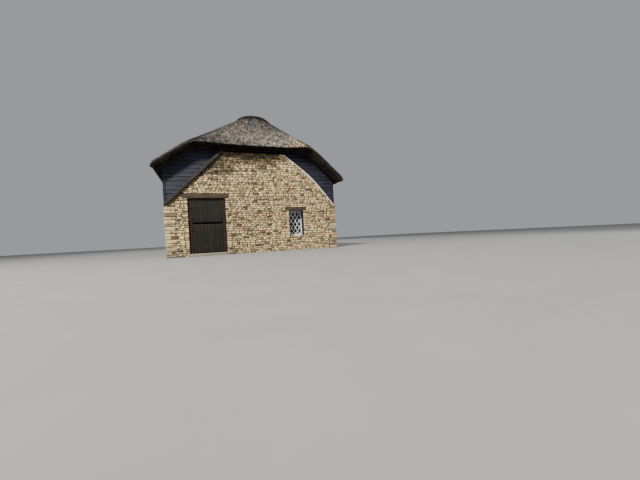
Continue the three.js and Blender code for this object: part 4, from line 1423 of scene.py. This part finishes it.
def board(heap, world, u_span, z_span, rng, tint):
    """One tapered board: thick and proud along its lower edge, thin at its upper one. The faces of its
    lower edge carry a painted highlight, a sheen of sky light.
    """
    steps = max(2, round((u_span[1] - u_span[0]) / 0.3) + 1)
    u = np.linspace(*u_span, steps)
    spot = spots(u * 0.9, z_span[0] * 3, rng.uniform(0, 50))
    bend = BOARD_BEND * smooth_noise(spot, 81)
    warp = BOARD_WARP * smooth_noise(spot * 1.7, 82)
    low, high = z_span[0], z_span[1] + BOARD_LAP
    thick = rng.uniform(*BOARD_THICKNESSES)
    worn = low + rng.uniform(*BOARD_WORN)
    front = [(low, thick - 0.003), (low + 0.004, thick), (worn, thick - 0.002), (high, BOARD_TOP_THICKNESS)]
    section = [(low, 0.0), *front, (high, 0.0)]
    rings = [world(u, z + bend, out + (warp if out else 0)) for z, out in section]
    points = np.stack(rings, axis=1).reshape(-1, 3)
    sides, ends = tube_faces(steps, len(section))
    # The lower edge faces get the painted highlight.
    tints = [tint * PAINTED_EDGE_SHEEN if side in (1, 2) else tint for side in range(len(section))]
    heap.add(points, [sides], np.repeat(tints, steps - 1, axis=0))
    heap.add(points, [ends], tint)


def board_row(heap, world, u_span, z_span, rng):
    """A row of boards with butt joints at random places."""
    u = u_span[0]
    while u_span[1] - u > BOARD_LEAST:
        length = rng.uniform(*BOARD_LENGTHS)
        if u_span[1] - u - length < BOARD_SHORTEST:
            length = u_span[1] - u
        tint = np.ones(3) * rng.uniform(*BOARD_SHADES)
        board(heap, world, (u, u + length - BOARD_GAP), z_span, rng, tint)
        u += length


def board_levels(low, high):
    """Rows of boards, counted from the top of the stone gable."""
    first = math.floor((low - GABLE_TOP) / BOARD_SHOWS)
    last = math.ceil((high - GABLE_TOP) / BOARD_SHOWS)
    for row in range(first, last):
        bottom = max(low, GABLE_TOP + row * BOARD_SHOWS)
        top = min(high, GABLE_TOP + (row + 1) * BOARD_SHOWS)
        if top - bottom > BOARD_LEAST:
            yield bottom, top


def build_gable_boards(rng, end, name):
    """The boards of one gable, cut off beside the stone along its rakes."""
    world = face_at((0, end * GABLE_BOARDING_Y, 0), *WALLS[name][1:])
    top = float(hip_plane(GABLE_BOARDING_Y, THATCH)) + 0.02
    heap = Heap()
    for low, high in board_levels(WALL_TOP, top):
        left, right = (np.clip(limit, -SIDE_BOARDING_X, SIDE_BOARDING_X) for limit in under_limits(low))
        spans = [(left, right)]
        if low < GABLE_TOP - 0.01:
            spans = [(left, rake_left(high) + BEHIND_RAKE), (rake_right(high) - BEHIND_RAKE, right)]
        for x0, x1 in spans:
            if x1 - x0 > GABLE_SPAN_LEAST:
                board_row(heap, world, (x0, x1) if end < 0 else (-x1, -x0), (low, high), rng)
    heap.make(f"weatherboards_{name}", TAR, "tarred_boards")


def build_side_boards(rng, side, name, plane):
    """The boards along one side, and the corner boards at both their ends."""
    world = face_at((side * SIDE_BOARDING_X, 0, 0), *WALLS[name][1:])
    roof = float(plane(side * HALF_WIDTH, THATCH)) + 0.03
    heap = Heap()
    for low, high in board_levels(WALL_TOP, roof):
        board_row(heap, world, (-GABLE_BOARDING_Y, GABLE_BOARDING_Y), (low, high), rng)
    for end in (-1, 1):
        outer = np.array([side * (SIDE_BOARDING_X + CORNER_PROUD), end * (GABLE_BOARDING_Y + CORNER_PROUD)])
        inner = outer - np.array([side, end]) * CORNER_BOARD
        low = [*np.minimum(outer, inner), WALL_TOP + 0.004]
        high = [*np.maximum(outer, inner), roof - 0.03]
        upright_bar(heap, low, high, 0.006, (0.9, 0.9, 0.9))
    heap.make(f"weatherboards_{name}", TAR, "tarred_boards")


def build_boards():
    """Tarred weatherboards on the upper gables and above the side walls, with corner boards."""
    rng = np.random.default_rng(80)
    build_gable_boards(rng, -1, "front")
    build_gable_boards(rng, 1, "back")
    build_side_boards(rng, -1, "left", left_plane)
    build_side_boards(rng, 1, "right", right_plane)
    for name in ("front_gable", "back_gable", "left_side", "right_side"):
        finish_node(f"{name}_boarding", OAK["x" if "gable" in name else "y"])


# Timber.

RANKING = Vector((1.0, 0.618, 0.414))
RAKE_PROUD = 0.07
RAFTER_DEPTH = 0.1
RAFTER_WIDTH = 0.065
RAFTER_GAP = 0.012
RAFTER_YS = np.arange(-3.15, 3.2, 0.45)
RAFTER_TOP_X = 0.14
RAFTER_FOOT_X = SIDE_BOARDING_X - 0.06
TIMBER_LINTEL_SUNK = 0.02
TIMBER_LINTEL_PROUD = 0.012


def sort_by_place(shape):
    """Puts a shape's points, edges and faces in an order that is the same in each run."""
    shape.verts.sort(key=lambda vert: vert.co.dot(RANKING))
    for parts in (shape.edges, shape.faces):
        parts.sort(key=lambda part: sum(vert.co.dot(RANKING) for vert in part.verts))


def many_sided(shape):
    """The faces of a mesh with more than four sides."""
    return [face for face in shape.faces if len(face.verts) > 4]


def aged(name, material, wobble=0.003, chamfer=0.006, step=0.16):
    """A hand-worked copy of a timber: its edges worn round, its faces slightly uneven."""
    shape = bmesh.new()
    shape.from_mesh(NODES[name].data)
    bmesh.ops.remove_doubles(shape, verts=shape.verts, dist=0.0002)
    bmesh.ops.dissolve_limit(shape, angle_limit=math.radians(1), verts=shape.verts, edges=shape.edges)
    turn = math.radians(25)
    sharp = [edge for edge in shape.edges if edge.is_manifold and edge.calc_face_angle(0) > turn]
    worn = {"offset": chamfer, "segments": 2, "profile": 0.6, "affect": "EDGES", "clamp_overlap": True}
    bmesh.ops.bevel(shape, geom=sharp, **worn)
    bmesh.ops.triangulate(shape, faces=many_sided(shape))
    for _ in range(5):
        long_edges = [edge for edge in shape.edges if edge.calc_length() > step]
        if not long_edges:
            break
        bmesh.ops.subdivide_edges(shape, edges=long_edges, cuts=1)
        bmesh.ops.triangulate(shape, faces=many_sided(shape))
    sort_by_place(shape)
    push = wobble * noise_vectors(np.array([vert.co for vert in shape.verts]), 4, 91)
    for vert, offset in zip(shape.verts, push):
        vert.co += Vector(offset)
    mesh = bpy.data.meshes.new(f"aged_{name}")
    shape.to_mesh(mesh)
    shape.free()
    mesh.polygons.foreach_set("use_smooth", np.full(len(mesh.polygons), True))
    return place(f"aged_{name}", mesh, material, [name])


def build_timber():
    """The roof's timbers, the rake timber, the lintels and the door frame."""
    for end in ("front", "back"):
        for part in ("left_rafter", "right_rafter", "collar"):
            aged(f"{end}_truss_{part}", OAK["x"])
    for name in ("ridge_beam", "left_purlin", "right_purlin"):
        aged(name, OAK["y"])
    for name in ("left_wall_frame", "right_wall_frame"):
        finish_node(name, OAK["y"])
    build_rake_timber()
    for name in ("door_lintel", "front_window_lintel"):
        aged(name, LINTEL_WOOD, 0.006, 0.01)
    for name, axis in (("door_jamb_left", "z"), ("door_jamb_right", "z"), ("door_head", "x")):
        aged(name, OLD_PAINT[axis], 0.0015, 0.005)
    build_lintels()
    build_rafters()


def build_rake_timber():
    """The timber on the left rake, standing proud of the stones."""
    piece = aged("rake_timber", RAKE_WOOD, 0.006, 0.012)
    for vert in piece.data.vertices:
        if vert.co.y < -HALF_LENGTH:
            vert.co.y -= RAKE_PROUD


def build_lintels():
    """Timber lintels over the windows of the other walls, each its own hewn baulk."""
    half = WINDOW_HALF + WINDOW_LINTEL_BEARING - 0.006
    low_z, high_z = WINDOW_HEAD + 0.002, WINDOW_HEAD + WINDOW_LINTEL - 0.004
    back = Heap()
    low = [BACK_WINDOW_X - half, HALF_LENGTH - TIMBER_LINTEL_SUNK, low_z]
    high = [BACK_WINDOW_X + half, HALF_LENGTH + TIMBER_LINTEL_PROUD, high_z]
    block(back, low, high, 0.008, (7, 1, 2), 0.004, 95)
    back.make("back_window_timber_lintel", OAK["x"], "oak", smooth=True)
    sides = Heap()
    for side in (-1, 1):
        faces = sorted(side * (HALF_WIDTH + out) for out in (-TIMBER_LINTEL_SUNK, TIMBER_LINTEL_PROUD))
        for y in SIDE_WINDOW_YS:
            low, high = [faces[0], y - half, low_z], [faces[1], y + half, high_z]
            block(sides, low, high, 0.008, (1, 7, 2), 0.004, 96)
    sides.make("side_window_timber_lintels", OAK["y"], "oak", smooth=True)


def build_rafters():
    """Common rafters under both slopes."""
    heap = Heap()
    for side, pitch, plane in ((-1, LEFT_PITCH, left_plane), (1, RIGHT_PITCH, right_plane)):
        slope = np.array([side * math.cos(pitch), 0.0, -math.sin(pitch)])
        square = np.array([side * math.sin(pitch), 0.0, math.cos(pitch)])
        top_x = RIDGE_X + side * RAFTER_TOP_X
        for y in RAFTER_YS:
            under = np.array([top_x, y, float(plane(top_x, THATCH))])
            start = under - square * (RAFTER_GAP + RAFTER_DEPTH / 2)
            end = start + slope * ((side * RAFTER_FOOT_X - start[0]) / slope[0])
            bar(heap, start, end, (0, RAFTER_WIDTH / 2, 0), square * RAFTER_DEPTH / 2, 0.006)
    heap.make("common_rafters", OAK["x"], "oak")


# The door.

OUT_OF_DOOR = (0, -1, 0)
PLANK_COUNT = 8
PLANK_THICKNESS = 0.028
PLANK_JOINT = 0.0015
PLANK_SWERVE = 0.012
PLANK_RECESS = 0.0025
PLANK_SHORT = 0.004
PLANK_TINT = np.array([1.0, 0.97, 0.92])
PLANK_SHADES = (0.72, 1.2)
LEDGE_FROM_END = (0.13, 0.27)
LEDGE_FROM_SIDE = 0.045
LEDGE_TINT = (0.9, 0.88, 0.84)
LEDGE_NAIL_INSET = 0.035
LEDGE_NAIL = 0.006
LEDGE_NAIL_SWERVE = (0.02, 0.008)
STRAP_FACE_Y = -4.7463
STRAP_NAIL_COUNT = 5
STRAP_NAIL_INSETS = (0.09, 0.04)
STRAP_NAIL = 0.009


def build_leaf(rng, body, nails):
    """One leaf: upright planks, two ledges behind them, and the clenched nails through both."""
    low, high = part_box(f"{body}_leaf")
    face, plank_back = low[1], low[1] + PLANK_THICKNESS
    edges = np.linspace(low[0], high[0], PLANK_COUNT + 1)
    edges[1:-1] += rng.uniform(-PLANK_SWERVE, PLANK_SWERVE, PLANK_COUNT - 1)
    planks = list(zip(edges[:-1], edges[1:]))
    heap = Heap()
    for x0, x1 in planks:
        tint = PLANK_TINT * rng.uniform(*PLANK_SHADES)
        recess = rng.uniform(0, PLANK_RECESS)
        plank_low = [x0 + PLANK_JOINT, face + recess, low[2] + rng.uniform(0, PLANK_SHORT)]
        plank_high = [x1 - PLANK_JOINT, plank_back, high[2] - rng.uniform(0, PLANK_SHORT)]
        block(heap, plank_low, plank_high, 0.004, (2, 1, 8), 0.0012, int(rng.integers(1000)), tint)
    near, far = LEDGE_FROM_END
    for z0, z1 in ((low[2] + near, low[2] + far), (high[2] - far, high[2] - near)):
        ledge_low = [low[0] + LEDGE_FROM_SIDE, plank_back - 0.001, z0]
        ledge_high = [high[0] - LEDGE_FROM_SIDE, high[1], z1]
        block(heap, ledge_low, ledge_high, 0.006, (6, 1, 2), 0.0012, 103, LEDGE_TINT)
        for x0, x1 in planks:
            for z in (z0 + LEDGE_NAIL_INSET, z1 - LEDGE_NAIL_INSET):
                aside, above = (rng.uniform(-reach, reach) for reach in LEDGE_NAIL_SWERVE)
                spot = [(x0 + x1) / 2 + aside, face - 0.001, z + above]
                nail_head(nails, spot, OUT_OF_DOOR, LEDGE_NAIL)
    heap.make(f"{body}_planks", PLANKS, "door_plank", [f"{body}_leaf"], body, smooth=True)


def build_door():
    """The two leaves, the nails of each in one piece, and the iron of the hinges."""
    rng = np.random.default_rng(101)
    nails = {"door_lower": Heap(), "door_upper": Heap()}
    for body, heap in nails.items():
        build_leaf(rng, body, heap)
    for body, heap in nails.items():
        for strap in ("bottom", "top"):
            low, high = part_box(f"{body}_{strap}_strap")
            first, last = low[0] + STRAP_NAIL_INSETS[0], high[0] - STRAP_NAIL_INSETS[1]
            for x in np.linspace(first, last, STRAP_NAIL_COUNT):
                nail_head(heap, [x, STRAP_FACE_Y, (low[2] + high[2]) / 2], OUT_OF_DOOR, STRAP_NAIL)
        heap.make(f"{body}_nails", IRON, "wrought_iron", body=body, smooth=True)
    for name in NODES:
        if name.endswith(("_strap", "_pintle")):
            finish_node(name, IRON)


# The windows.

PANE_HALF = WINDOW_HALF - WINDOW_BAR + 0.004
PANE_LOW = WINDOW_SILL + 0.061
PANE_HIGH = WINDOW_HEAD - 0.046
LATTICE_OUT = -WINDOW_SET_BACK - 0.012
LATTICE_LAP = 0.002
LATTICE_WIDE = 0.172
LATTICE_TALL = 0.28
LATTICE_HALF_WIDTH = 0.0115
LATTICE_HALF_DEPTH = 0.005
LATTICE_LEAST = 0.02
LINING_HALF = WINDOW_HALF - 0.001
LINING = 0.016
LINING_OUT = (0.004 - WINDOW_SET_BACK, 0.002)


def window_places():
    """Each window's name and its place: the point under its middle, and its wall's two ways."""
    yield "front_window", ((FRONT_WINDOW_X, -HALF_LENGTH, 0), *WALLS["front"][1:])
    yield "back_window", ((BACK_WINDOW_X, HALF_LENGTH, 0), *WALLS["back"][1:])
    for wall, x in (("left", -HALF_WIDTH), ("right", HALF_WIDTH)):
        for number, y in enumerate(SIDE_WINDOW_YS, 1):
            yield f"{wall}_window_{number}", ((x, y, 0), *WALLS[wall][1:])


def build_windows():
    """White casements with a diamond lattice in front of the glass, all alike."""
    for name, at in window_places():
        aged(f"{name}_frame", PAINT, 0.0006, 0.004)
        finish_node(f"{name}_glass", GLASS)
        build_lattice(name, face_at(*at), np.array(at[2], float))
        build_lining(name, face_at(*at))


def build_lattice(name, world, outward):
    """Bars on both slants across the pane, cut off at its edges."""
    heap = Heap()
    for slant in (-1, 1):
        rise = slant * LATTICE_TALL / LATTICE_WIDE
        start = -PANE_HALF - (PANE_HIGH - PANE_LOW) / abs(rise) - LATTICE_WIDE
        for step in range(20):
            line = clip_line(start + step * LATTICE_WIDE, rise)
            if not line:
                continue
            first, last = world(*np.transpose(line), LATTICE_OUT + LATTICE_LAP * slant)
            along = last - first
            if np.linalg.norm(along) < LATTICE_LEAST:
                continue
            across = unit(np.cross(along, outward)) * LATTICE_HALF_WIDTH
            bar(heap, first, last, across, outward * LATTICE_HALF_DEPTH, 0.002)
    heap.make(f"{name}_lattice", PAINT, "white_paint")


def clip_line(u_at_low, rise):
    """The part of a slanting line that lies inside the pane, as two (u, z) ends."""
    left, right = sorted((u_at_low, u_at_low + (PANE_HIGH - PANE_LOW) / rise))
    ends = max(left, -PANE_HALF), min(right, PANE_HALF)
    if ends[1] - ends[0] < 0.01:
        return None
    return [(u, PANE_LOW + (u - u_at_low) * rise) for u in ends]


def build_lining(name, world):
    """Dark boards that line the sides and the head of a window's reveal."""
    heap = Heap()
    outer, inner = LINING_HALF, LINING_HALF - LINING
    side_span = (WINDOW_SILL + 0.004, WINDOW_HEAD - 0.001)
    head_span = (WINDOW_HEAD - LINING, WINDOW_HEAD - 0.001)
    for u_span, z_span in (
        ((-outer, -inner), side_span),
        ((inner, outer), side_span),
        ((-inner, inner), head_span),
    ):
        ends = world(u_span, z_span, LINING_OUT)
        block(heap, ends.min(axis=0), ends.max(axis=0), 0.003)
    heap.make(f"{name}_lining", TAR, "tarred_boards", smooth=True)


# The floor.

FLAG_TINT = np.array(srgb(150, 142, 124))
FLAG_SHADES = (0.75, 1.15)
FLAG_PROUD = (0.003, 0.006)
FLAG_SUNK = 0.01
FLAG_DEPTHS = (0.42, 0.62)
FLAG_WIDTHS = (0.45, 0.9)
FLAG_LEAST = 0.35
FLAG_JOINT = 0.005


def flag_spans(rng, reach, sizes):
    """Start and end of each row, or of each flag in a row, from -reach to reach."""
    start = -reach
    while reach - start > 0.05:
        size = rng.uniform(*sizes)
        if reach - start - size < FLAG_LEAST:
            size = reach - start
        yield start, start + size
        start += size


def build_floor():
    """Flagstones in rows of their own width, and the worn doorstep."""
    rng = np.random.default_rng(111)
    heap = Heap()
    for y0, y1 in flag_spans(rng, HALF_LENGTH - WALL - 0.01, FLAG_DEPTHS):
        for x0, x1 in flag_spans(rng, HALF_WIDTH - WALL - 0.01, FLAG_WIDTHS):
            low = [x0 + FLAG_JOINT, y0 + FLAG_JOINT, FLOOR_TOP - FLAG_SUNK]
            high = [x1 - FLAG_JOINT, y1 - FLAG_JOINT, FLOOR_TOP + rng.uniform(*FLAG_PROUD)]
            tint = FLAG_TINT * rng.uniform(*FLAG_SHADES)
            block(heap, low, high, 0.004, (3, 3, 1), 0.001, int(rng.integers(1000)), tint)
    heap.make("flagstones", FLAGS, "flagstone", smooth=True)
    finish_node("floor", MORTAR)
    step = Heap()
    block(step, *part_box("door_threshold"), 0.008, (8, 3, 2), 0.0015, 112, FLAG_TINT)
    step.make("worn_doorstep", FLAGS, "flagstone", ["door_threshold"], smooth=True)


# The camera, the lights and the floor of the studio.

LIGHTS_AIM = (0, 0, 2.5)
STUDIO_REACH = 60.0
STUDIO_FLOOR_Z = -0.002


def add_camera():
    """The camera of the photograph: its place, the way it looks, and its lens."""
    ahead = (math.sin(CAMERA_YAW), math.cos(CAMERA_YAW))
    forward = Vector((*(v * math.cos(CAMERA_PITCH) for v in ahead), -math.sin(CAMERA_PITCH)))
    level = Vector((ahead[1], -ahead[0], 0))
    upright = level.cross(forward)
    right = math.cos(CAMERA_ROLL) * level - math.sin(CAMERA_ROLL) * upright
    up = math.cos(CAMERA_ROLL) * upright + math.sin(CAMERA_ROLL) * level
    view = Matrix((right, up, -forward)).transposed().to_4x4()
    view.translation = Vector(CAMERA_PLACE)
    lens = bpy.data.cameras.new("photo_view")
    lens.sensor_width = SENSOR_WIDTH
    lens.lens = FOCAL_PIXELS / PHOTO_WIDTH * SENSOR_WIDTH
    camera = bpy.data.objects.new("photo_view", lens)
    camera.matrix_world = view
    bpy.context.scene.collection.objects.link(camera)
    bpy.context.scene.camera = camera


def add_light(name, spot, size, power, colour):
    """A round lamp at a spot, turned to the middle of the cottage."""
    light = bpy.data.lights.new(name, "AREA")
    light.shape = "DISK"
    light.size = size
    light.energy = power
    light.color = colour
    lamp = bpy.data.objects.new(name, light)
    lamp.location = spot
    lamp.rotation_euler = (Vector(LIGHTS_AIM) - Vector(spot)).to_track_quat("-Z", "Y").to_euler()
    bpy.context.scene.collection.objects.link(lamp)


def add_sky():
    """An even, pale light from all round."""
    world = bpy.data.worlds.new("studio")
    world.use_nodes = True
    background = world.node_tree.nodes["Background"]
    background.inputs["Color"].default_value = (0.86, 0.9, 0.96, 1)
    background.inputs["Strength"].default_value = 0.4
    bpy.context.scene.world = world


def add_studio_floor():
    """The grey floor of the studio, which isn't part of the cottage."""
    finish = Finish("studio_floor", roughness=0.95, specular=0.1)
    greys = finish.ramp(finish.noise(1.5, 3), (0.3, srgb(148, 147, 144)), (0.7, srgb(154, 153, 150)))
    square = np.array([(-1, -1), (1, -1), (1, 1), (-1, 1)]) * STUDIO_REACH
    corners = [(x, y, STUDIO_FLOOR_Z) for x, y in square.tolist()]
    floor = bpy.data.meshes.new("studio_floor")
    floor.from_pydata(corners, [], [(0, 1, 2, 3)])
    floor.materials.append(finish.done(greys))
    piece = bpy.data.objects.new("studio_floor", floor)
    bpy.context.scene.collection.objects.link(piece)


build_coat()
build_straw()
build_straw_ends()
build_cap()
build_cap_straw()
build_stone()
build_boards()
build_timber()
build_door()
build_windows()
build_floor()

add_camera()
add_light("key", (-14.2, -19.0, 21.0), 3.5, 14000, (1.0, 0.975, 0.93))
add_light("fill", (15, -13, 7), 9, 700, (0.9, 0.95, 1.0))
add_light("back_light", (8, 18, 14), 9, 1900, (0.95, 0.97, 1.0))
add_sky()
add_studio_floor()
